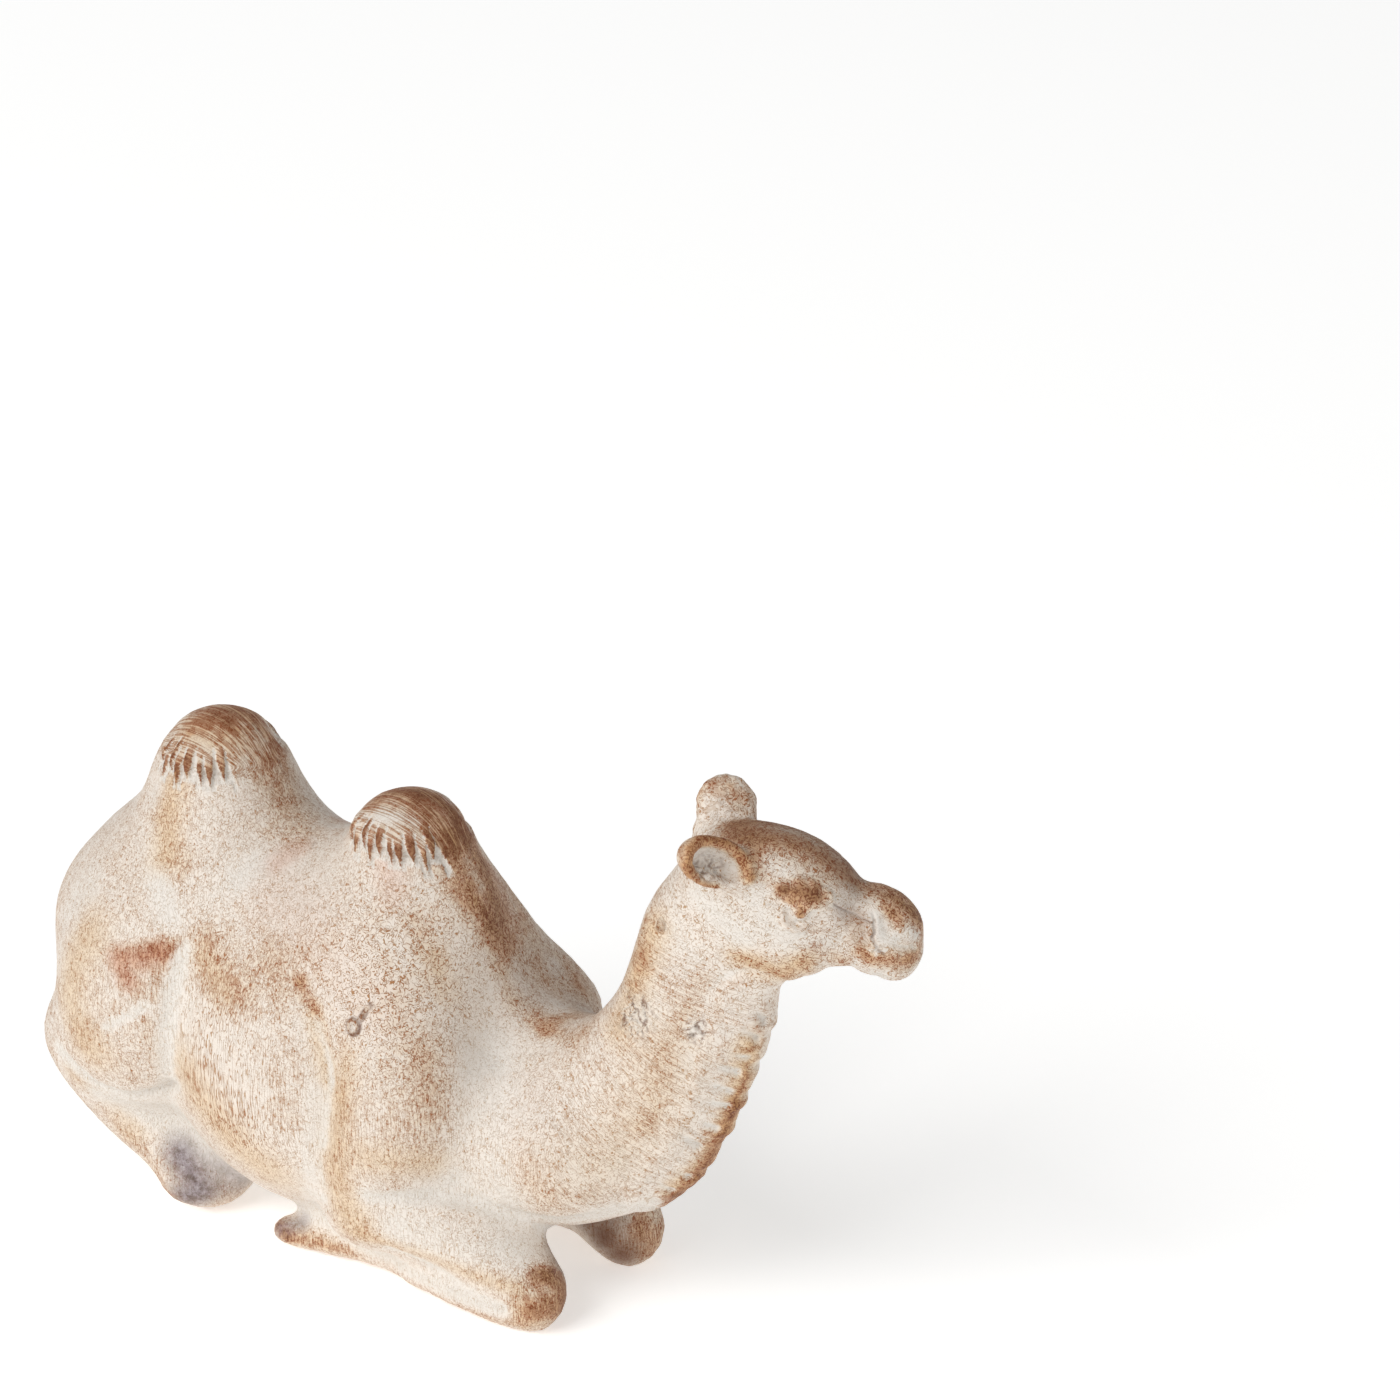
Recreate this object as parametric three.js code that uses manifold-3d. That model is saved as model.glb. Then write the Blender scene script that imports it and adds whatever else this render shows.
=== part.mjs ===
// A reclining two-humped camel, cast in one piece as a table ornament.
//
// Millimetres. +X is the way the camel lies, with the head forward. +Y is its left side, +Z is up.
// The camel stands on its folded fore legs and its hind feet, which are flat at z = 0.
//
// The body is one closed surface. It is the zero level of a field that blends rounded masses,
// as a modeller presses clay together, and then carves into them. The surface is laid with
// triangles that are small on the head, mane and hair tufts and larger on the smooth flanks.

import * as THREE from "three";
import { mergeVertices } from "three/addons/utils/BufferGeometryUtils.js";
import Module from "manifold-3d";

const wasm = await Module();
wasm.setup();

// Driving dimensions. A row is a point of a mass: x, y, z, radius, and width for one of height.

// Trunk
const BELLY = { centre: [-8, 0, 29], radii: [27, 21, 25.5] };
const BACK = [
  [-29.5, 0, 39.5, 14.5, 0.9],
  [-11.5, 0, 40.5, 16.5, 0.9],
  [3, 0, 35, 15, 0.9],
  [17.5, 0, 26, 12, 0.95],
  [31, 0, 24.5, 11, 1],
];
const RUMP = [
  [-38.5, 0, 37.5, 13.5, 0.95],
  [-30.5, 0, 37, 17, 0.85],
  [-20, 0, 39, 17.5, 0.85],
];
const TAIL = [
  [-50.5, 0, 43, 2.6, 0.9],
  [-52.8, 0.6, 36, 2.2, 0.9],
  [-52, 1.4, 28.5, 1.9, 0.9],
  [-48.5, 2, 22, 2.3, 0.9],
];

// Humps, and the crest that runs down from the fore hump to the neck
const HIND_HUMP = [
  [-31, 0, 40.5, 18, 0.95],
  [-26, 0, 53, 14, 0.95],
  [-25.5, 0, 63, 10.5, 1],
  [-25.5, 0, 66.5, 8.5, 1],
];
const FORE_HUMP = [
  [0, 0, 40.5, 16, 0.9],
  [3, 0, 51, 11.5, 0.95],
  [6, 0, 58, 9.5, 1],
  [6, 0, 61.5, 8.5, 1],
];
const CREST = [
  [12, 0, 53, 7, 0.9],
  [15.5, 0, 43.5, 5, 0.9],
  [24, 1.5, 35.5, 5.5, 1],
  [32, 2.5, 34, 6.5, 1],
];

// Legs. They are given for the left side; the right ones are their mirror images.
const SHOULDER = [
  [6.5, 5.5, 49, 9, 1],
  [11, 9.5, 40, 9, 1],
  [13.5, 12, 32, 9.5, 1],
  [10, 12, 22, 9, 1],
  [8, 12, 15.5, 7, 1],
];
const THIGH = { centre: [-32, 9.5, 34], radii: [14.5, 11, 20], turn: [0, 22, -2] };
const SHANK = [
  [-35, 9, 26, 10, 1],
  [-43, 9.5, 24, 8, 1],
  [-40.5, 9, 17.5, 6.5, 1],
  [-34, 8, 11.5, 6, 1],
  [-26, 7, 7, 5.5, 1],
];
const HIND_FOOT = { centre: [-26.5, 6.5, 5.5], radii: [7, 7.5, 6], turn: [0, 9, 0] };
const FOREARM = [
  [7, 12.5, 13, 7.5, 1],
  [19, 11.5, 13, 7, 1],
  [30, 11, 7, 5.5, 1],
];
const CANNON = [
  [31.5, 11, 4.5, 5.5, 1],
  [21, 13, 4, 3.5, 1],
  [9, 9.5, 3.5, 3.5, 1],
  [0.5, 8.5, 4, 4.5, 1],
  [-4.5, 9.5, 3, 3.5, 1],
  [-9.5, 11, 2, 2, 1],
];
const HOOF_TIP = CANNON.at(-1);
const FORE_LEGS_LEFT = 0.5; // the pair of fore legs sits this far to the left of the middle
const HIND_LEGS_LEFT = 0.5;
const LEFT_LEG_FORWARD = 2; // the left fore leg and shoulder lie this far ahead of the right

// Neck, with the thin ridge of the mane along its throat
const NECK = [
  [22.5, 0, 24, 11.5, 1],
  [31.5, 0, 25, 12, 1],
  [38, 0.5, 29.5, 11.5, 0.85],
  [45.5, 0.5, 39.5, 10.5, 0.75],
  [49.5, 2, 48.5, 9.5, 0.7],
  [51, 4, 58.5, 9, 0.8],
  [54.5, 5.5, 65.5, 8, 0.9],
];
const THROAT = [
  [44.5, 0.5, 22.5, 5, 0.6],
  [52.5, 0.5, 32, 3, 0.6],
  [56.5, 1.5, 42.5, 2.5, 0.6],
  [59.5, 2.5, 51, 2.5, 0.7],
];
const MANE_LOCKS = 12;

// Head, in its own frame: forward, left and up from the middle of the skull
const HEAD_SEAT = [60.5, 6, 65.5];
const HEAD_TURN = 24; // degrees to the camel's left
const HEAD_DROP = 23; // degrees that the muzzle points below level
const SKULL = { centre: [-2, 0, 1], radii: [9, 7, 8.5] };
const BROW = { centre: [3.5, 3.5, 3.5], radii: [5, 3, 3.5] };
const CHEEK = { centre: [3, 2.5, -2.5], radii: [7, 4.5, 6] };
const MUZZLE = [
  [3, 0, 3, 6, 0.9],
  [9.5, 0, 2.5, 5, 0.85],
  [14, 0, 2, 6, 0.85],
  [16.5, 0, 1.5, 4, 0.95],
];
const CHIN = { centre: [17.5, 0, -0.5], radii: [4, 3.5, 3] };
const EYE = { centre: [3.2, 6.5, 3.1], radius: 1.7 };
const NOSTRIL = { centre: [14.3, 4.1, 5.6], radii: [1.9, 0.8, 1.1] };
const RIGHT_EAR = {
  centre: [-9.6, -7.8, 5],
  length: 10.4,
  width: 6.6,
  along: [-0.88, -0.45, 0.12],
  open: [0, -0.85, 0.53],
};
const LEFT_EAR = {
  centre: [-11, 6.4, 5.2],
  length: 10.6,
  width: 9,
  along: [-0.35, 0.5, 0.78],
  open: [0.02, 0.85, -0.53],
};

// Tufts of hair that hang from the caps of the humps
const TUFTS = [
  { axis: [-25.6, 0], edge: 68.4, fall: 0, locks: 34, from: 195, to: 300 },
  { axis: [5.9, 0], edge: 64.4, fall: 0.17, locks: 34, from: 205, to: 335 },
];
const TUFT_PROUD = 0.7;
const TUFT_DROP = 2.6;

// Length of a triangle's side
const GRAIN = { flank: 3.7, leg: 2.4, fold: 2.1, head: 1.4, mane: 1.2, ear: 1, tuft: 0.85 };
const FIRST_CELL = 1;

// The origin is on the table at the middle of the camel's length, this far ahead of the belly's
const MIDDLE = 12.5;

const DEGREE = Math.PI / 180;

// Field tools. Every mass is a function (x, y, z) -> distance, negative inside.

const clamp = (v, low, high) => Math.min(high, Math.max(low, v));
const ease = (v) => {
  const t = clamp(v, 0, 1);
  return t * t * (3 - 2 * t);
};

// Union and cut of two masses, rounded over a width of k
const join = (a, b, k) => {
  const h = Math.max(k - Math.abs(a - b), 0) / k;
  return Math.min(a, b) - (h * h * k) / 4;
};
const cut = (a, b, k) => -join(-a, b, k);

// An ellipsoid on three perpendicular directions
function eggOn(centre, radii, u, v, w) {
  const [cx, cy, cz] = centre;
  const [ru, rv, rw] = radii;
  return (x, y, z) => {
    const dx = x - cx;
    const dy = y - cy;
    const dz = z - cz;
    const a = (u.x * dx + u.y * dy + u.z * dz) / ru;
    const b = (v.x * dx + v.y * dy + v.z * dz) / rv;
    const c = (w.x * dx + w.y * dy + w.z * dz) / rw;
    const size = Math.sqrt(a * a + b * b + c * c);
    const slope = Math.sqrt((a / ru) ** 2 + (b / rv) ** 2 + (c / rw) ** 2);
    return slope < 1e-9 ? -Math.min(ru, rv, rw) : (size * (size - 1)) / slope;
  };
}

// An ellipsoid turned by degrees about X, then Y, then Z
function egg({ centre, radii, turn = [0, 0, 0] }) {
  const euler = new THREE.Euler(...turn.map((t) => t * DEGREE), "ZYX");
  const u = new THREE.Vector3();
  const v = new THREE.Vector3();
  const w = new THREE.Vector3();
  new THREE.Matrix4().makeRotationFromEuler(euler).extractBasis(u, v, w);
  return eggOn(centre, radii, u, v, w);
}

// A limb along a smooth curve through rows of x, y, z, radius and width; `across` is the
// direction in which the width counts
function limb(rows, across = [0, 1, 0], steps = 4) {
  const curve = new THREE.CatmullRomCurve3(rows.map((r) => new THREE.Vector3(...r)), false, "centripetal");
  const last = rows.length - 1;
  const blend = (k, f, n) => {
    const before = rows[Math.max(k - 1, 0)][n];
    const here = rows[k][n];
    const next = rows[k + 1][n];
    const after = rows[Math.min(k + 2, last)][n];
    const pull = (f - 2) * f * f + f;
    const hold = (f - 1) * f * f;
    return here + ease(f) * (next - here) + (pull * (next - before) + hold * (after - here)) / 2;
  };
  const rings = [];
  for (let i = 0; i <= last * steps; i++) {
    const t = i / steps;
    const k = Math.min(Math.floor(t), last - 1);
    const at = curve.getPoint(t / last);
    rings.push([at.x, at.y, at.z, blend(k, t - k, 3), blend(k, t - k, 4)]);
  }
  const [ax, ay, az] = across;
  return (x, y, z) => {
    let best = Infinity;
    for (let i = 0; i + 1 < rings.length; i++) {
      const a = rings[i];
      const b = rings[i + 1];
      const ex = b[0] - a[0];
      const ey = b[1] - a[1];
      const ez = b[2] - a[2];
      const px = x - a[0];
      const py = y - a[1];
      const pz = z - a[2];
      const t = clamp((px * ex + py * ey + pz * ez) / (ex * ex + ey * ey + ez * ez), 0, 1);
      const dx = px - ex * t;
      const dy = py - ey * t;
      const dz = pz - ez * t;
      const radius = a[3] + (b[3] - a[3]) * t;
      const wide = a[4] + (b[4] - a[4]) * t;
      const side = dx * ax + dy * ay + dz * az;
      const rest = Math.max(dx * dx + dy * dy + dz * dz - side * side, 0);
      const reach = Math.sqrt(rest + (side * side) / (wide * wide));
      best = Math.min(best, (reach - radius) * Math.min(wide, 1));
    }
    return best;
  };
}

// Head

const headFrame = new THREE.Matrix4()
  .makeTranslation(...HEAD_SEAT)
  .multiply(new THREE.Matrix4().makeRotationZ(HEAD_TURN * DEGREE))
  .multiply(new THREE.Matrix4().makeRotationY(HEAD_DROP * DEGREE));

// An ear is an oval dish: thick rim, hollow inside, joined to the skull at its inner end
function ear({ centre, length, width, along, open }) {
  const u = new THREE.Vector3(...along).normalize();
  const facing = new THREE.Vector3(...open);
  const w = facing.addScaledVector(u, -facing.dot(u)).normalize();
  const v = new THREE.Vector3().crossVectors(w, u);
  const middle = new THREE.Vector3(...centre);
  const outer = eggOn(centre, [length / 2, width / 2, 2], u, v, w);
  const root = middle.clone().addScaledVector(u, -length * 0.42).addScaledVector(w, -0.8);
  const stem = eggOn(root.toArray(), [2.6, width * 0.34, 2.2], u, v, w);
  const well = middle.clone().addScaledVector(w, 1.75).addScaledVector(u, -0.3);
  const hollow = eggOn(well.toArray(), [length / 2 - 1.3, width / 2 - 1.05, 2.3], u, v, w);
  return { shell: (x, y, z) => join(outer(x, y, z), stem(x, y, z), 2), hollow };
}
const ears = [ear(RIGHT_EAR), ear(LEFT_EAR)];

const skull = egg(SKULL);
const brow = egg(BROW);
const cheek = egg(CHEEK);
const muzzle = limb(MUZZLE);
const chin = egg(CHIN);
const lid = egg({ centre: [2.9, 6, 5.3], radii: [3.1, 1.9, 1.7], turn: [0, 10, 8] });
const socket = limb([
  [0.9, 7.5, 3.4, 0.8, 1],
  [2.2, 7.9, 2, 0.9, 1],
  [4.6, 7.6, 2.1, 0.9, 1],
  [6.2, 6.6, 3.6, 0.8, 1],
]);
const eyeBall = egg({ centre: EYE.centre, radii: [EYE.radius, EYE.radius, EYE.radius] });
const nostril = egg({ ...NOSTRIL, turn: [0, 25, -14] });
const mouth = limb([
  [13.8, 5.6, 1.2, 0.7, 1],
  [15.8, 5.2, 2.2, 0.7, 1],
  [18.2, 3.9, 2.4, 0.6, 1],
  [20.6, 1.8, 2.2, 0.5, 1],
  [21.2, 0, 2.1, 0.5, 1],
]);

function head(x, y, z) {
  const side = Math.abs(y);
  let d = join(skull(x, y, z), cheek(x, side, z), 4);
  d = join(d, muzzle(x, y, z), 4);
  d = join(d, brow(x, side, z), 2.5);
  d = join(d, chin(x, y, z), 1.5);
  d = join(d, lid(x, side, z), 1);
  d = cut(d, socket(x, side, z), 0.8);
  d = join(d, eyeBall(x, side, z), 0.5);
  d = cut(d, nostril(x, side, z), 0.8);
  d = cut(d, mouth(x, side, z), 0.7);
  return d;
}

const toHead = headFrame.clone().invert().elements;
function inHead(x, y, z) {
  const row = (i) => toHead[i] * x + toHead[i + 4] * y + toHead[i + 8] * z + toHead[i + 12];
  return [row(0), row(1), row(2)];
}

// Body

const belly = egg(BELLY);
const back = limb(BACK, [0, 1, 0], 6);
const rump = limb(RUMP);
const tail = limb(TAIL);
const hindHump = limb(HIND_HUMP);
const foreHump = limb(FORE_HUMP);
const crest = limb(CREST);
const shoulder = limb(SHOULDER, [0, 1, 0], 5);
const thigh = egg(THIGH);
const shank = limb(SHANK);
const hindFoot = egg(HIND_FOOT);
const forearm = limb(FOREARM);
const cannon = limb(CANNON);
const neckSide = [-Math.sin(HEAD_TURN * 0.6 * DEGREE), Math.cos(HEAD_TURN * 0.6 * DEGREE), 0];
const neck = limb(NECK, neckSide, 5);
const throat = limb(THROAT, neckSide);

// Folds carved between thigh and belly, before the upper arm, and along the cannon bone
const groin = limb([
  [-19.4, 18.6, 49, 1.2, 1],
  [-20.4, 20, 43, 2.2, 1],
  [-22.2, 20.7, 33, 2.4, 1],
  [-24.4, 19, 24.5, 2.2, 1],
  [-26.8, 16.6, 19.6, 1.6, 1],
]);
const flankFold = limb([
  [-0.4, 18, 47, 0.8, 1],
  [2, 19.6, 41, 1.6, 1],
  [4.4, 20.6, 33, 1.9, 1],
  [3.6, 20.2, 24, 1.4, 1],
]);
const boneGroove = limb([
  [8, 14, 6, 0.8, 1],
  [20, 16.7, 5.8, 1.1, 1],
  [31.2, 16.9, 4.8, 1.1, 1],
]);

function bare(x, y, z) {
  const side = Math.abs(y);
  const left = ease((y + 3) / 6) * LEFT_LEG_FORWARD;
  let d = join(belly(x, y, z), back(x, y, z), 6);
  d = join(d, rump(x, y, z), 4);
  d = join(d, hindHump(x, y, z), 9);
  d = join(d, foreHump(x, y, z), 9);
  d = join(d, crest(x, y, z), 6);
  d = join(d, thigh(x, side, z), 2.5);
  d = cut(d, groin(x, side, z), 2.5);
  d = join(d, shoulder(x - left, side, z), 5);
  d = cut(d, flankFold(x, side, z), 2.5);
  d = join(d, tail(x, y, z), 1.2);
  d = join(d, join(neck(x, y, z), throat(x, y, z), 5), 6);

  const hindSide = Math.abs(y - HIND_LEGS_LEFT);
  const foreSide = Math.abs(y - FORE_LEGS_LEFT);
  const facet = 0.86 * (x + 21.5) + 0.5 * (hindSide - 12.5);
  const foot = cut(hindFoot(x, hindSide, z), -facet, 1.5);
  const hindLeg = join(shank(x, hindSide, z), foot, 3);
  let foreLeg = join(forearm(x - left, foreSide, z), cannon(x - left, foreSide, z), 1.5);
  foreLeg = cut(foreLeg, boneGroove(x - left, foreSide, z), 0.5);
  return join(d, Math.min(hindLeg, foreLeg), 2);
}

// Mane: on both sides of the throat's ridge a row of dimples parts the hair into locks

const ridge = new THREE.CatmullRomCurve3(THROAT.map((r) => new THREE.Vector3(...r)));
function maneDimples() {
  const dimples = [];
  for (const hand of [-1, 1]) {
    const out = new THREE.Vector3(...neckSide).multiplyScalar(hand);
    for (let i = 0; i < MANE_LOCKS; i++) {
      const t = (i + 0.3) / (MANE_LOCKS - 0.2);
      const along = ridge.getTangentAt(t);
      const rear = new THREE.Vector3().crossVectors(along, out).multiplyScalar(-hand).normalize();
      const start = ridge.getPointAt(t).addScaledVector(rear, 0.6 + 0.5 * (i % 2));
      while (bare(start.x, start.y, start.z) < 0) start.addScaledVector(out, 0.1);
      const reach = 1.7 + 0.6 * Math.sin(i * 2.1);
      dimples.push(eggOn(start.toArray(), [0.85, reach, 0.9], along, rear, out));
    }
  }
  return dimples;
}
const dimples = maneDimples();

function maneCarving(x, y, z) {
  let d = Infinity;
  for (const dimple of dimples) d = Math.min(d, dimple(x, y, z));
  return d;
}

// Hair caps: above a serrated edge the hump stands a little proud
function tuftRelief(x, y, z) {
  let relief = 0;
  for (const tuft of TUFTS) {
    const dx = x - tuft.axis[0];
    const dy = y - tuft.axis[1];
    if (dx * dx + dy * dy > 144 || z < tuft.edge - 8) continue;
    const turn = (Math.atan2(-Math.abs(dy), dx) / DEGREE + 360) % 360;
    const shown = ease((turn - tuft.from) / 12) * ease((tuft.to - turn) / 12);
    const wave = (turn / 360) * tuft.locks;
    const saw = Math.abs(wave - Math.floor(wave) - 0.5) * 2;
    const edge = tuft.edge - tuft.fall * Math.max(dx, 0) - TUFT_DROP * (saw - 0.5);
    const fade = ease((tuft.edge + 5 - z) / 4);
    relief += TUFT_PROUD * shown * fade * ease((z - edge) / 1.2);
  }
  return relief;
}

function camel(x, y, z) {
  let d = bare(x, y, z);
  if (x > 40 && z > 14) d = cut(d, maneCarving(x, y, z), 0.7);
  if (z > 55) d -= tuftRelief(x, y, z);
  if (x > 36 && z > 40) {
    const [hx, hy, hz] = inHead(x, y, z);
    d = join(d, head(hx, hy, hz), 4);
    for (const { shell } of ears) d = join(d, shell(hx, hy, hz), 1.6);
    for (const { hollow } of ears) d = cut(d, hollow(hx, hy, hz), 0.6);
  }
  return d;
}

// Length of a triangle's side wanted at a point: fine on a detail, longer away from it
const spread = (distance, reach, fine) => fine + Math.max(distance - reach, 0) * 0.42;
function grain(x, y, z) {
  const side = Math.abs(y);
  const legs = Math.min(cannon(x, side, z), hindFoot(x, side, z), forearm(x, side, z), shank(x, side, z));
  const folds = Math.min(groin(x, side, z), flankFold(x, side, z));
  const sizes = [GRAIN.flank, spread(legs, 1, GRAIN.leg), spread(folds, 1, GRAIN.fold)];
  if (x > 36) {
    const [hx, hy, hz] = inHead(x, y, z);
    sizes.push(spread(Math.hypot(hx - 5, hy, hz - 1), 12, GRAIN.head));
    sizes.push(spread(Math.min(...ears.map(({ shell }) => shell(hx, hy, hz))), 0.5, GRAIN.ear));
    sizes.push(spread(maneCarving(x, y, z), 1, GRAIN.mane));
  }
  for (const tuft of TUFTS) {
    const dx = x - tuft.axis[0];
    if (Math.hypot(dx, y) > 14) continue;
    const level = z - tuft.edge + tuft.fall * Math.max(dx, 0);
    const turn = (Math.atan2(-side, dx) / DEGREE + 360) % 360;
    const away = Math.max(tuft.from - turn, turn - tuft.to, 0) * 0.15;
    sizes.push(spread(Math.hypot(level, away), 2, y > 0 ? GRAIN.fold : GRAIN.tuft));
  }
  sizes.push(spread(Math.hypot(x - HOOF_TIP[0], side - HOOF_TIP[1], z - HOOF_TIP[2]), 5, GRAIN.head));
  return Math.min(...sizes);
}

// Meshing

// Each cube of the grid falls into six tetrahedra round its long diagonal. Corners are numbered
// by the bits x = 1, y = 2, z = 4, and each row is wound the same way.
const TETRAHEDRA = [
  [0, 1, 3, 7],
  [0, 2, 6, 7],
  [0, 4, 5, 7],
  [0, 1, 7, 5],
  [0, 2, 7, 3],
  [0, 4, 7, 6],
];

// Lays the zero level of a field with triangles on a grid of cubes
function skin(field, low, high, cell) {
  const [nx, ny, nz] = low.map((v, i) => Math.ceil((high[i] - v) / cell / 4) * 4);
  const index = (i, j, k) => i + nx * (j + ny * k);
  const place = (i, j, k) => [low[0] + i * cell, low[1] + j * cell, low[2] + k * cell];
  const value = new Float32Array(nx * ny * nz);
  for (let k = 0; k < nz; k += 4)
    for (let j = 0; j < ny; j += 4)
      for (let i = 0; i < nx; i += 4) {
        const middle = field(...place(i + 1.5, j + 1.5, k + 1.5));
        const far = Math.abs(middle) > 4.5 * cell;
        for (let n = 0; n < 64; n++) {
          const at = [i + (n & 3), j + ((n >> 2) & 3), k + (n >> 4)];
          value[index(...at)] = far ? middle : field(...place(...at));
        }
      }

  const points = [];
  const triangles = [];
  const known = new Map();
  const crossing = (a, b) => {
    const key = Math.min(a, b) * value.length + Math.max(a, b);
    if (!known.has(key)) {
      const [p, q] = [a, b].map((v) => place(v % nx, Math.floor(v / nx) % ny, Math.floor(v / nx / ny)));
      const t = clamp(value[a] / (value[a] - value[b]), 0.02, 0.98);
      known.set(key, points.length);
      points.push(p.map((v, i) => v + (q[i] - v) * t));
    }
    return known.get(key);
  };
  for (let k = 0; k + 1 < nz; k++)
    for (let j = 0; j + 1 < ny; j++)
      for (let i = 0; i + 1 < nx; i++) {
        const corners = [];
        for (let c = 0; c < 8; c++) corners.push(index(i + (c & 1), j + ((c >> 1) & 1), k + (c >> 2)));
        const within = corners.filter((v) => value[v] < 0).length;
        if (within === 0 || within === 8) continue;
        for (const row of TETRAHEDRA) {
          const inner = row.filter((c) => value[corners[c]] < 0).map((c) => corners[c]);
          const outer = row.filter((c) => value[corners[c]] >= 0).map((c) => corners[c]);
          if (inner.length === 0 || outer.length === 0) continue;
          let swaps = 0;
          row.forEach((c, n) => {
            if (value[corners[c]] >= 0) return;
            swaps += row.slice(0, n).filter((before) => value[corners[before]] >= 0).length;
          });
          const ring = [];
          if (inner.length === 2) {
            ring.push(crossing(inner[0], outer[0]), crossing(inner[0], outer[1]));
            ring.push(crossing(inner[1], outer[1]), crossing(inner[1], outer[0]));
          } else for (const a of inner) for (const b of outer) ring.push(crossing(a, b));
          if (swaps % 2) ring.reverse();
          triangles.push(ring.slice(0, 3));
          if (ring.length === 4) triangles.push([ring[0], ring[2], ring[3]]);
        }
      }
  return { points, triangles };
}

const minus = (a, b) => [a[0] - b[0], a[1] - b[1], a[2] - b[2]];
const dot = (a, b) => a[0] * b[0] + a[1] * b[1] + a[2] * b[2];
const cross = (a, b) => [a[1] * b[2] - a[2] * b[1], a[2] * b[0] - a[0] * b[2], a[0] * b[1] - a[1] * b[0]];
const apart = (a, b) => Math.hypot(a[0] - b[0], a[1] - b[1], a[2] - b[2]);
const midway = (a, b) => [(a[0] + b[0]) / 2, (a[1] + b[1]) / 2, (a[2] + b[2]) / 2];
const facing = (a, b, c) => {
  const n = cross(minus(b, a), minus(c, a));
  const size = Math.hypot(...n) || 1e-12;
  return [n[0] / size, n[1] / size, n[2] / size];
};

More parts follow.
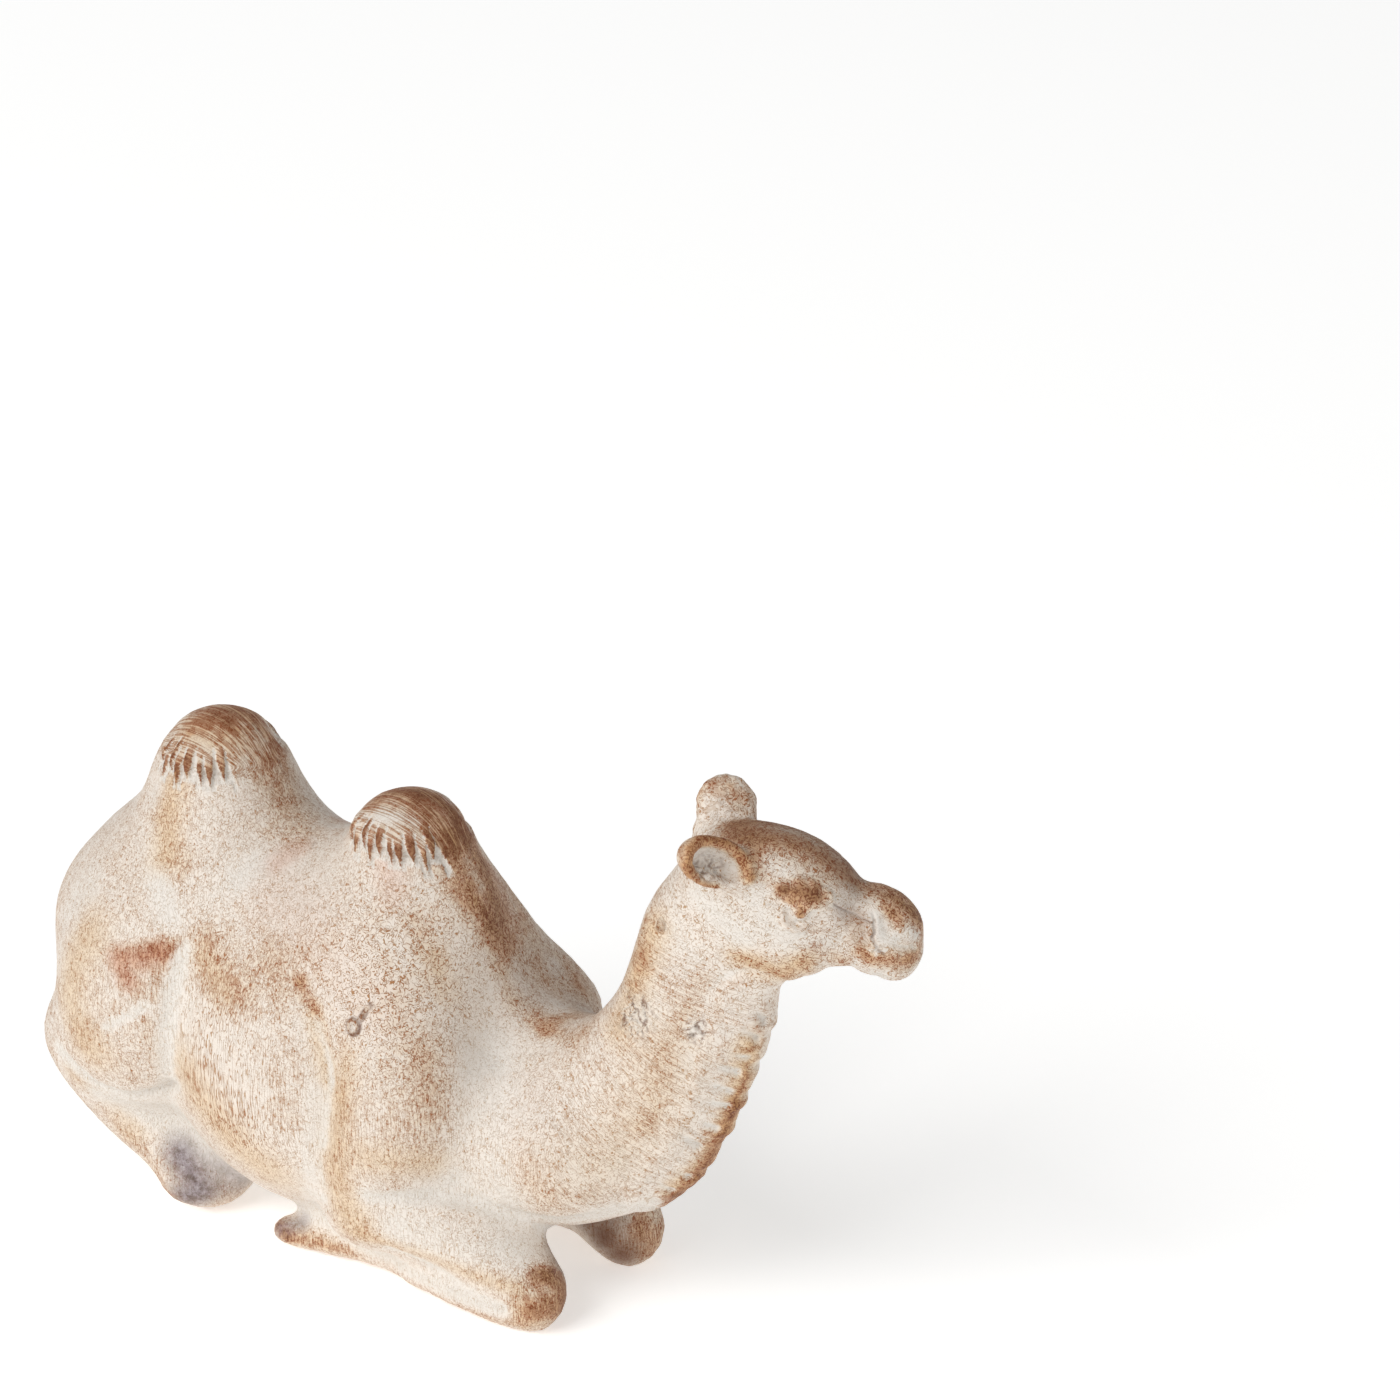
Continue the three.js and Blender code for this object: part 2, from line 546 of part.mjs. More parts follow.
// Lays a closed surface anew with triangles of the wanted size: long sides are split, short
// ones dropped, sides are turned over to even out the corners, and the points slide along
// the surface and are pressed back onto the field
function relay({ points, triangles }, field, grain, rounds) {
  const faces = triangles.slice();
  const fan = points.map(() => new Set());
  faces.forEach((face, f) => face.forEach((v) => fan[v].add(f)));
  const want = points.map((p) => grain(...p));
  const ringOf = (v) => {
    const ring = new Set();
    for (const f of fan[v]) for (const w of faces[f]) if (w !== v) ring.add(w);
    return ring;
  };
  const addFace = (a, b, c) => {
    for (const v of [a, b, c]) fan[v].add(faces.length);
    faces.push([a, b, c]);
  };
  const dropFace = (f) => {
    for (const v of faces[f]) fan[v].delete(f);
    faces[f] = null;
  };
  const shared = (a, b) => [...fan[a]].filter((f) => fan[b].has(f));
  const third = (f, a, b) => faces[f].find((v) => v !== a && v !== b);
  const runs = (f, a, b) => {
    const face = faces[f];
    return face[(face.indexOf(a) + 1) % 3] === b;
  };
  const target = (a, b) => (want[a] + want[b]) / 2;

  const split = () => {
    const count = faces.length;
    for (let f = 0; f < count; f++) {
      if (!faces[f]) continue;
      const excess = faces[f].map((v, n) => {
        const w = faces[f][(n + 1) % 3];
        return apart(points[v], points[w]) / target(v, w);
      });
      const longest = excess.indexOf(Math.max(...excess));
      if (excess[longest] < 1.34) continue;
      const a = faces[f][longest];
      const b = faces[f][(longest + 1) % 3];
      const other = shared(a, b).find((g) => g !== f);
      const c = third(f, a, b);
      const d = third(other, a, b);
      const middle = points.length;
      points.push(midway(points[a], points[b]));
      want.push(target(a, b));
      fan.push(new Set());
      dropFace(f);
      dropFace(other);
      addFace(a, middle, c);
      addFace(middle, b, c);
      addFace(b, middle, d);
      addFace(middle, a, d);
    }
  };

  const mayMerge = (a, b, to) => {
    const ends = shared(a, b);
    if (ends.length !== 2) return false;
    const ringB = ringOf(b);
    if ([...ringOf(a)].filter((v) => ringB.has(v)).length !== 2) return false;
    if (ends.some((f) => fan[third(f, a, b)].size < 4)) return false;
    for (const v of [a, b])
      for (const f of fan[v]) {
        if (ends.includes(f)) continue;
        const corners = faces[f].map((w) => points[w]);
        const moved = faces[f].map((w) => (w === v ? to : points[w]));
        if (dot(facing(...corners), facing(...moved)) < 0.6) return false;
        if (faces[f].some((w) => w !== v && apart(points[w], to) > target(v, w) * 1.3)) return false;
      }
    return true;
  };
  const merge = () => {
    for (let a = 0; a < points.length; a++) {
      if (fan[a].size === 0) continue;
      for (const b of ringOf(a)) {
        if (apart(points[a], points[b]) > target(a, b) * 0.78) continue;
        const to = midway(points[a], points[b]);
        if (!mayMerge(a, b, to)) continue;
        shared(a, b).forEach(dropFace);
        for (const f of [...fan[b]]) {
          const face = faces[f].map((v) => (v === b ? a : v));
          dropFace(f);
          addFace(...face);
        }
        points[a] = to;
        break;
      }
    }
  };

  const turnOver = () => {
    for (let a = 0; a < points.length; a++)
      for (const b of ringOf(a)) {
        if (b < a) continue;
        const [f, g] = shared(a, b);
        const [left, right] = runs(f, a, b) ? [f, g] : [g, f];
        const c = third(left, a, b);
        const d = third(right, a, b);
        const off = (v, change) => Math.abs(fan[v].size + change - 6);
        const before = off(a, 0) + off(b, 0) + off(c, 0) + off(d, 0);
        const after = off(a, -1) + off(b, -1) + off(c, 1) + off(d, 1);
        if (after >= before || shared(c, d).length > 0) continue;
        const [A, B, C, D] = [a, b, c, d].map((v) => points[v]);
        const old = facing(A, B, C);
        if (dot(old, facing(B, A, D)) < 0.8) continue;
        if (Math.min(dot(old, facing(A, D, C)), dot(old, facing(D, B, C))) < 0.75) continue;
        dropFace(left);
        dropFace(right);
        addFace(a, d, c);
        addFace(d, b, c);
      }
  };

  const press = (p) => {
    const e = 0.04;
    const d = field(...p);
    const slope = [0, 1, 2].map((i) => {
      const q = p.slice();
      q[i] += e;
      return (field(...q) - d) / e;
    });
    const size = dot(slope, slope) || 1;
    const step = clamp(d / size, -0.6, 0.6);
    return { at: p.map((v, i) => v - slope[i] * step), slope: slope.map((v) => v / Math.sqrt(size)) };
  };
  const slide = (share) => {
    for (let v = 0; v < points.length; v++) {
      if (fan[v].size === 0) continue;
      const ring = [...ringOf(v)];
      const middle = [0, 1, 2].map((i) => ring.reduce((sum, w) => sum + points[w][i], 0) / ring.length);
      const { at, slope } = press(points[v]);
      const pull = minus(middle, at);
      const rise = dot(pull, slope);
      points[v] = at.map((c, i) => c + share * (pull[i] - rise * slope[i]));
      want[v] = grain(...points[v]);
    }
  };

  for (let round = 0; round < rounds; round++) {
    split();
    merge();
    turnOver();
    slide(0.6);
  }
  const kept = [...points.keys()].filter((v) => fan[v].size > 0);
  const order = new Map(kept.map((v, n) => [v, n]));
  return {
    points: kept.map((v) => press(press(points[v]).at).at),
    triangles: faces.filter((face) => face).map((face) => face.map((v) => order.get(v))),
  };
}

// A closed body from flat lists of coordinates and of triangle corners
function solid(coordinates, corners) {
  const mesh = new wasm.Mesh({
    numProp: 3,
    vertProperties: new Float32Array(coordinates),
    triVerts: new Uint32Array(corners),
  });
  return new wasm.Manifold(mesh);
}

const clay = relay(skin(camel, [-60, -30, -8], [92, 30, 96], FIRST_CELL), camel, grain, 7);

// A box below z = 0, taken off the underside, leaves the feet flat
const box = new THREE.BoxGeometry(300, 200, 40).translate(0, 0, -20);
box.deleteAttribute("normal");
box.deleteAttribute("uv");
const below = mergeVertices(box);
const floor = solid(below.attributes.position.array, below.index.array);
const standing = solid(clay.points.flat(), clay.triangles.flat()).subtract(floor).getMesh();

const geometry = new THREE.BufferGeometry();
geometry.setAttribute("position", new THREE.BufferAttribute(standing.vertProperties, 3));
geometry.setIndex(new THREE.BufferAttribute(standing.triVerts, 1));
geometry.translate(-MIDDLE, 0, 0);
geometry.computeVertexNormals();

const resin = new THREE.MeshStandardMaterial({ color: 0xe3d3c0, roughness: 0.62, metalness: 0 });
const body = new THREE.Mesh(geometry, resin);
body.name = "camel";

const group = new THREE.Group();
group.name = "camel_figurine";
group.add(body);
export default group;
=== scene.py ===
"""A reclining two-humped camel cast in resin: a cream coat brushed over rust brown and rubbed back.

The casting keeps the solid's form, but for small corrections to the ears, the left shoulder and the
outline. This script divides its surface more finely, carves the hair, the face, the folds and the
casting's flaws into it, and paints it. Places on the camel are in millimetres, measured from the
table under the middle of the belly, +X towards the head, +Y to the camel's left, +Z up, until a mesh
is written back in metres. Camera and lights are placed in metres.
"""

from math import cos, radians, sin

import bpy
import numpy as np
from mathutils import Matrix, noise


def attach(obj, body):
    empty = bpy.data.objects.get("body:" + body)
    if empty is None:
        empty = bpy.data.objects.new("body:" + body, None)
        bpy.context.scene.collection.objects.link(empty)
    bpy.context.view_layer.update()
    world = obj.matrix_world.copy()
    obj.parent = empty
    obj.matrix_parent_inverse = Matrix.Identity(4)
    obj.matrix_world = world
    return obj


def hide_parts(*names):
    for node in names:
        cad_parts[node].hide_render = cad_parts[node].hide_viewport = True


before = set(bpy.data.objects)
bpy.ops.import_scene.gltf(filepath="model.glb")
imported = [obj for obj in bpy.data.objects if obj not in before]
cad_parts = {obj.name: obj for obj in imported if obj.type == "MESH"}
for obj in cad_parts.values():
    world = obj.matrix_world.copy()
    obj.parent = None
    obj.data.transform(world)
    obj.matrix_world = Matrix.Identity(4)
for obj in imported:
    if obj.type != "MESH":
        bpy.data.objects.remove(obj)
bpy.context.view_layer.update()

MM = 0.001
BELLY_X = -12.5  # the belly's middle lies this far behind the frame's origin

# Camera: the photo's view, from before the camel's right shoulder and above
CAMERA_PLACE = (0.3540, -0.5045, 0.3600)
CAMERA_HEADING = 121.905
CAMERA_PITCH = -24.083
CAMERA_LENS = 129.6

# Head: seat of the skull on the neck, and how the muzzle is turned and dropped
HEAD_SEAT = np.array([60.5, 6, 65.5])
HEAD_TURN = radians(24)
HEAD_DROP = radians(23)


def linear(code):
    """The linear colour of an sRGB hex code."""
    parts = [int(code[i : i + 2], 16) / 255 for i in (1, 3, 5)]
    return [c / 12.92 if c <= 0.04045 else ((c + 0.055) / 1.055) ** 2.4 for c in parts] + [1]


# Camera, light and floor

def set_camera():
    camera = bpy.data.objects.new("camera", bpy.data.cameras.new("camera"))
    bpy.context.scene.collection.objects.link(camera)
    camera.location = CAMERA_PLACE
    camera.rotation_euler = (radians(90 + CAMERA_PITCH), 0, radians(CAMERA_HEADING - 90))
    camera.data.lens = CAMERA_LENS
    camera.data.clip_start = 0.01
    camera.data.clip_end = 20
    bpy.context.scene.camera = camera


def soft_box(name, azimuth, elevation, distance, size, power):
    """A square studio light that looks at the camel's middle.

    Azimuth 0 is in front of the camel's right side. Angles are in degrees, lengths in metres and power
    in watts.
    """
    light = bpy.data.lights.new(name, "AREA")
    light.shape = "SQUARE"
    light.size = size
    light.energy = power
    box = bpy.data.objects.new(name, light)
    bpy.context.scene.collection.objects.link(box)
    a, e = radians(azimuth), radians(elevation)
    box.location = (distance * sin(a) * cos(e), -distance * cos(a) * cos(e), 0.04 + distance * sin(e))
    box.rotation_euler = (radians(90) - e, 0, a)


def set_light():
    soft_box("key", -20, 38, 2.6, 1.7, 41.5)
    soft_box("fill", 60, 20, 2.6, 1.8, 6.5)
    world = bpy.data.worlds.new("studio")
    world.use_nodes = True
    world.node_tree.nodes["Background"].inputs["Color"].default_value = (1, 1, 1, 1)
    world.node_tree.nodes["Background"].inputs["Strength"].default_value = 0.36
    bpy.context.scene.world = world
    bpy.context.scene.view_settings.view_transform = "Standard"


def lay_floor():
    bpy.ops.object.select_all(action="DESELECT")
    bpy.ops.mesh.primitive_plane_add(size=6, location=(0, 0, 0))
    floor = bpy.context.object
    floor.name = "floor"
    paper = bpy.data.materials.new("white_studio_paper")
    paper.use_nodes = True
    surface = paper.node_tree.nodes["Principled BSDF"]
    surface.inputs["Base Color"].default_value = linear("#fbfbfa")
    surface.inputs["Roughness"].default_value = 0.9
    surface.inputs["Emission Color"].default_value = linear("#ffffff")
    surface.inputs["Emission Strength"].default_value = 0.38
    floor.data.materials.append(paper)


set_camera()
set_light()
lay_floor()


# Casting: a copy of the solid, divided finely where it is carved

def read(mesh, key="co"):
    """Places or normals of a mesh's points, one row each; places in millimetres from the belly."""
    rows = np.empty(len(mesh.vertices) * 3, np.float64)
    if key == "co":
        mesh.vertices.foreach_get("co", rows)
        return rows.reshape(-1, 3) / MM - [BELLY_X, 0, 0]
    mesh.vertex_normals.foreach_get("vector", rows)
    return rows.reshape(-1, 3)


def write(mesh, places):
    mesh.vertices.foreach_set("co", ((places + [BELLY_X, 0, 0]) * MM).ravel())
    mesh.update()


def ease(value):
    value = np.clip(value, 0, 1)
    return value * value * (3 - 2 * value)


def in_head(places):
    """Places in the head's own frame: forward, left and up from the middle of the skull."""
    x, y, z = (places - HEAD_SEAT).T
    forward = x * cos(HEAD_TURN) + y * sin(HEAD_TURN)
    left = y * cos(HEAD_TURN) - x * sin(HEAD_TURN)
    return np.stack([forward * cos(HEAD_DROP) - z * sin(HEAD_DROP), left,
                     forward * sin(HEAD_DROP) + z * cos(HEAD_DROP)], 1)


def away(places, spots):
    """Distance to the nearest of some spots."""
    return np.min([np.linalg.norm(places - spot, axis=1) for spot in np.atleast_2d(spots)], 0)


def along(places, line):
    """Distance to a line of points, and how far along it the nearest spot lies, from 0 to 1."""
    line = np.array(line, float)
    lengths = np.linalg.norm(np.diff(line, axis=0), axis=1)
    total = lengths.sum()
    best = np.full(len(places), np.inf)
    share = np.zeros(len(places))
    walked = 0
    for start, stop, length in zip(line[:-1], line[1:], lengths):
        way = (stop - start) / length
        t = np.clip((places - start) @ way, 0, length)
        gap = np.linalg.norm(places - start - t[:, None] * way, axis=1)
        closer = gap < best
        best[closer] = gap[closer]
        share[closer] = (walked + t[closer]) / total
        walked += length
    return best, share


# Humps: where the axis stands, how high the cap's edge runs and how it falls towards the front, and
# the part of the round, in degrees from the front, that carries locks of hair
HUMPS = [
    {"axis": -25.6, "edge": 68.6, "fall": 0.0, "from": 222, "to": 322},
    {"axis": 5.9, "edge": 64.4, "fall": 0.11, "from": 220, "to": 344},
]
LOCKS_ROUND = 34
CAP_REACH = 13
CAP_RADIUS = 9
CAP_DEPTH = 8  # the cap is round about a point this far below its edge

# Folds of the right side; the left one has them mirrored
GROIN = [(-20.5, -16.5, 46), (-22, -17.5, 41), (-23.5, -19, 32), (-25, -17, 24), (-26.5, -15, 20)]
THIGH_CREASE = [(-43, -17, 24), (-40, -17.5, 22), (-36, -17, 20.5), (-31.5, -16.5, 20), (-26.5, -15.5, 21.5),
                (-23.5, -16, 24)]
FLANK_FOLD = [(0, -17, 46), (2, -18, 42.5), (4, -18.5, 38), (5, -19, 32.5)]
ELBOW_EDGE = [(7.5, -18.5, 40), (6.5, -19, 34.5), (6.5, -20, 28.5), (5, -20, 23), (4, -19.5, 18),
              (5, -19.5, 14)]
ARM_CREASE = [(11.5, -19.5, 18.5), (15.5, -18, 18.5), (20.5, -15.5, 18.5), (25, -12.5, 17.5),
              (31, -10, 16), (35.5, -8.5, 16), (40.5, -6.5, 17.5)]
STRIP = [(12, -17.5, 9.5), (18, -16, 7), (25.5, -16, 5.5), (31.5, -15.5, 4.5)]
SCRAPE = [(-32.5, -20.5, 32), (-29, -20, 34.5), (-25.5, -19.5, 37)]

# Throat ridge, and the dimples that part its hair into locks
THROAT = [[44.5, 0.5, 22.5], [52.5, 0.5, 32], [56.5, 1.5, 42.5], [59.5, 2.5, 51]]
DIMPLES = [
    [(60.8, 0.4, 51.5), (61.7, 1.4, 49.5)],
    [(59.5, 0, 48.5), (60.8, 1, 46.7)],
    [(57.7, -1.5, 45), (59.6, 0.5, 44.2)],
    [(55.3, -3, 43.7), (58.5, -0.5, 42)],
    [(55, -3.2, 41), (57.5, -0.5, 39)],
    [(54.5, -3.3, 38), (57, -0.7, 36.7)],
    [(54, -3, 34.8), (55.5, -1, 33)],
    [(51.3, -4.4, 33), (53.3, -2, 30)],
    [(50, -2.7, 26.5), (51.3, -1.2, 24.5)],
    [(47, -4, 24.5), (49, -1.7, 22)],
    [(45, -3.8, 20), (46, -1, 17.5)],
]
THROAT_SIDE = 1.5  # the ridge's own middle lies this far to the left

# Casting flaws on the right side: a ring with a tick, a small ring, a rough pit and a cracked flake
RING = (8.7, -18.2, 42.7)
RING_RADIUS = 0.85
TICK = [(9.7, -17.6, 44), (10.6, -17, 46)]
SMALL_RING = (48, -2.6, 61.7)
SMALL_RING_RADIUS = 0.6
PIT = (54, -3.5, 48.3)
PITS = [(54.1, -3.4, 48.6), (53.6, -3.8, 47.4), (54.9, -3.3, 47.8)]
FLAKE = (45.5, -5.2, 49)

# On the head, in its own frame
HAIR_CRACK = [(6.6, -5.8, 5.5), (8.2, -4.9, 4.9), (9.8, -4.2, 4.7), (11.4, -4.2, 4.5), (12.7, -4.4, 4.6)]
CRACK = [(12.4, -4.2, 5.2), (12.8, -4.5, 4.4), (13.2, -4.7, 3.6), (13.1, -4.8, 3), (13.8, -5, 2.3),
         (14.6, -5, 1.6), (15.6, -4.8, 1.3)]
CRACK_BRANCHES = [
    [(12.4, -4.2, 5.2), (11.8, -3.9, 5.9)],
    [(14.2, -5, 2), (15.4, -4.8, 2.5)],
    [(14.4, -5, 1.8), (14.2, -4.9, 0.7)],
]
BROW_LUMPS = [(-0.3, -6.8, 5.1), (1.3, -6.2, 6.6), (3.3, -5.9, 6.8), (5.4, -5.7, 6.3), (3.1, -7.2, 4.7),
              (1.3, -7.4, 3.8)]
RIM = [(-12, -11.6, 3.6), (-13.2, -11.6, 5), (-13.6, -10.6, 6.6), (-12.8, -9, 7.6), (-11.4, -8, 7.9),
       (-9.8, -7, 7.8), (-8.2, -6.2, 7.2), (-6.8, -6.3, 6.5), (-5.8, -6.6, 5.6), (-5, -7.2, 4.9)]
LOWER_RIM = [(-12, -11.6, 3.6), (-11, -11, 3), (-9.8, -10.4, 2.6), (-8.4, -9.6, 2.6)]
EAR_HOLLOW = [(-11.6, -9.4, 5.4), (-10.4, -8.4, 5.4), (-9, -7.6, 5), (-7.8, -7.2, 4.6)]
LOWER_LID = [(1.2, -7.4, 3), (2, -7.4, 2), (3.2, -7.5, 1.7), (4.2, -7.6, 2.4), (4.8, -7.4, 4)]
RIGHT_EAR = [-9.6, -7.8, 5]
LEFT_EAR = [-11, 6.4, 5.2]
EAR_REACH = 6.5


def from_lines(places, lines):
    """Distance to the nearest of some lines."""
    return np.min([along(places, line)[0] for line in lines], 0)


def above_cap_edge(places, hump):
    """How far along the trunk a place lies from a hump's axis, and how high above its cap's edge."""
    ahead = places[:, 0] - hump["axis"]
    return ahead, places[:, 2] - hump["edge"] + hump["fall"] * np.maximum(ahead, 0)


def wanted_length(places):
    """How long a triangle's side may be, in millimetres: shortest where the carving is fine."""
    head = in_head(places)
    near_side = ease((2 - places[:, 1]) / 4)
    from_skull = np.linalg.norm((head - [5, 0, 1]) * [0.8, 1, 1], axis=1)
    fine_face = [BROW_LUMPS, LOWER_LID, CRACK, HAIR_CRACK] + CRACK_BRANCHES
    edges = (ELBOW_EDGE, ARM_CREASE, THIGH_CREASE, STRIP)
    # each zone: the length inside it, how fast that grows outside, and how far outside a place is
    zones = [
        (0.46 - 0.08 * near_side, 0.14, from_skull - 13),
        (0.22, 0.16, from_lines(head, fine_face) - 1),
        (0.3, 0.1, away(head, [RIGHT_EAR, LEFT_EAR]) - 5.5),
        (0.5 - 0.08 * near_side, 0.14, from_lines(places, [THROAT]) - 6),
        (0.24, 0.2, away(places, [RING, SMALL_RING, PIT, FLAKE]) - 2.2),
        (0.6, 0.15, from_lines(places, edges) - 2),
    ]
    size = 1.6 - 0.5 * near_side
    for shortest, growth, outside in zones:
        size = np.minimum(size, shortest + growth * np.maximum(outside, 0))
    for hump in HUMPS:
        ahead, level = above_cap_edge(places, hump)
        on_cap = np.hypot(ahead, places[:, 1]) < CAP_REACH + 1
        shortest = 0.3 + 0.2 * np.maximum(np.abs(level - 0.5) - 3, 0) + 0.5 * (places[:, 1] > 1)
        size = np.where(on_cap, np.minimum(size, shortest), size)
    return size


def divide(body):
    """Splits sides that are longer than wanted, in up to four rounds."""
    for _ in range(4):
        mesh = body.data
        places = read(mesh)
        ends = np.empty(len(mesh.edges) * 2, np.int32)
        mesh.edges.foreach_get("vertices", ends)
        ends = ends.reshape(-1, 2)
        sides = np.linalg.norm(places[ends[:, 0]] - places[ends[:, 1]], axis=1)
        long_sides = sides > 1.34 * wanted_length(places[ends].mean(1))
        if not long_sides.any():
            break
        mesh.vertices.foreach_set("select", np.zeros(len(mesh.vertices), bool))
        mesh.polygons.foreach_set("select", np.zeros(len(mesh.polygons), bool))
        mesh.edges.foreach_set("select", long_sides)
        bpy.ops.object.mode_set(mode="EDIT")
        bpy.ops.mesh.subdivide(number_cuts=1, smoothness=0)
        bpy.ops.mesh.select_all(action="SELECT")
        bpy.ops.mesh.quads_convert_to_tris(quad_method="SHORTEST_DIAGONAL")
        bpy.ops.object.mode_set(mode="OBJECT")


def cast_body():
    """A copy of the solid with its loose triangles merged, rounded, and divided where it is carved."""
    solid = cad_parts["camel"]
    body = bpy.data.objects.new("camel_casting", solid.data.copy())
    bpy.context.scene.collection.objects.link(body)
    body.data.materials.clear()
    bpy.ops.object.select_all(action="DESELECT")
    body.select_set(True)
    bpy.context.view_layer.objects.active = body
    bpy.ops.object.mode_set(mode="EDIT")
    bpy.ops.mesh.select_mode(type="EDGE")
    bpy.ops.mesh.select_all(action="SELECT")
    bpy.ops.mesh.remove_doubles(threshold=1e-6)
    bpy.ops.object.mode_set(mode="OBJECT")
    round_off = body.modifiers.new("round_off", "SUBSURF")
    round_off.levels = 1
    round_off.render_levels = 1
    bpy.ops.object.modifier_apply(modifier="round_off")
    bpy.ops.object.mode_set(mode="EDIT")
    bpy.ops.mesh.select_all(action="SELECT")
    bpy.ops.mesh.quads_convert_to_tris(quad_method="SHORTEST_DIAGONAL")
    bpy.ops.object.mode_set(mode="OBJECT")
    divide(body)
    bpy.ops.object.mode_set(mode="EDIT")
    bpy.ops.mesh.select_all(action="SELECT")
    bpy.ops.mesh.vertices_smooth(factor=0.5, repeat=4)
    bpy.ops.object.mode_set(mode="OBJECT")
    bpy.ops.object.shade_smooth()
    return body


casting = cast_body()


# Carving. Every cut or rise moves the surface along its own outward direction.

def right_side(places):
    """Places with the left side folded onto the right, so that one landmark serves both."""
    return np.stack([places[:, 0], -np.abs(places[:, 1]), places[:, 2]], 1)


def near(places, spots, reach):
    """1 at the spots, easing to 0 at their reach."""
    return ease(1 - away(places, spots) / reach)


def stroke(places, line, reach, taper=0.12):
    """1 along a line, easing to 0 at its reach and, over a share of its length, at its ends."""
    gap, share = along(places, line)
    ends = np.minimum(share, 1 - share) / taper + 0.35 if taper else 1
    return ease(1 - gap / reach) * np.clip(ends, 0, 1)


def lumps(places, size, seed=0):
    """Smooth random lumps of about the given size, from -1 to 1."""
    shifted = places / size + seed * 17.3
    return np.array([noise.noise(place) for place in shifted])


def neighbours_mean(mesh, values, rounds):
    """Values averaged over each point's neighbours, a number of rounds."""
    ends = np.empty(len(mesh.edges) * 2, np.int32)
    mesh.edges.foreach_get("vertices", ends)
    first, second = ends.reshape(-1, 2).T
    count = np.bincount(ends, minlength=len(mesh.vertices))
    for _ in range(rounds):
        sums = [np.bincount(first, part[second], len(count)) + np.bincount(second, part[first], len(count))
                for part in values.T]
        values = 0.5 * values + 0.5 * np.stack(sums, 1) / count[:, None]
    return values


def tuft_relief(places):
    """Hair locks that hang from the caps of the humps, with pointed gaps between them."""
    relief = np.zeros(len(places))
    for hump in HUMPS:
        close = np.hypot(places[:, 0] - hump["axis"], places[:, 1]) < CAP_REACH
        close &= np.abs(places[:, 2] - hump["edge"]) < 8
        ahead, level = above_cap_edge(places[close], hump)
        left = places[close, 1]
        turn = np.degrees(np.arctan2(-np.abs(left), ahead)) % 360
        shown = ease((turn - hump["from"]) / 12) * ease((hump["to"] - turn) / 12)
        shown *= 1 - ease(left / 2) * ease((turn - 285) / 20)
        wave = turn / 360 * LOCKS_ROUND + 0.1 * level
        wave += 0.16 * np.sin(wave * 2.3 + hump["axis"])
        lock = np.round(wave)
        uneven = np.sin(lock * 2.7 + hump["axis"])
        across = np.abs(wave - lock) * 2
        half = (0.7 + 0.16 * np.sin(lock * 4.1)) * ease((level + 1.9 - 0.9 * uneven) / 3.4)
        band = ease((level + 2.1 - 0.9 * uneven) / 1.5) * ease((2.8 + 1.2 * uneven - level) / 2.2)
        on_lock = ease((half - across) / 0.3 + 0.5)
        relief[close] += shown * band * (0.3 * on_lock - 0.34 * (1 - on_lock))
    return relief


def far_tuft_relief(places):
    """Takes down the tips of the far side's front locks, which the right side hides."""
    relief = np.zeros(len(places))
    for hump in HUMPS:
        ahead, level = above_cap_edge(places, hump)
        turn = 360 - np.degrees(np.arctan2(np.abs(places[:, 1]), ahead))
        shown = ease(places[:, 1] / 2) * ease((turn - 285) / 20) * ease((335 - turn) / 12)
        shown *= np.hypot(ahead, places[:, 1]) < CAP_REACH
        relief -= 0.65 * shown * ease((level + 0.7) / 1.6) * ease((5 - level) / 4)
    return relief


def mane_relief(places, mirrored):
    """Short dimples that run to the throat's ridge, deepest at their lower end, and a scalloped edge."""
    relief = np.zeros(len(places))
    mane = along(places, THROAT)[0] < 7
    spot = np.where(places[mane, 1:2] > THROAT_SIDE, mirrored[mane] + [0, 1, 0], places[mane])
    for dimple in DIMPLES:
        gap, share = along(spot, dimple)
        relief[mane] -= (0.08 + 0.75 * share) * ease(1 - gap / (0.7 + 0.3 * share))
        relief[mane] += 0.1 * ease(1 - np.abs(gap - 1.3) / 0.7)
    share = along(places[mane], THROAT)[1]
    front = ease((5 - np.abs(places[mane, 1] - THROAT_SIDE)) / 3)
    scallops = np.sin(share * 46 + 1.2) + 0.5 * np.sin(share * 81)
    relief[mane] += 0.3 * front * ease((0.4 - share) / 0.2) * ease(share / 0.1)
    relief[mane] += 0.16 * front * scallops * ease(share / 0.06)
    return relief


def along_lines(places, cuts, taper=0.12):
    """Relief of cuts and ridges along lines: the height, the reach and the line of each."""
    return sum(height * stroke(places, line, reach, taper) for height, reach, line in cuts)


def round_spots(places, swells):
    """Relief of round swells and hollows: the height, the reach and the middles of each."""
    return sum(height * near(places, middles, reach) for height, reach, middles in swells)


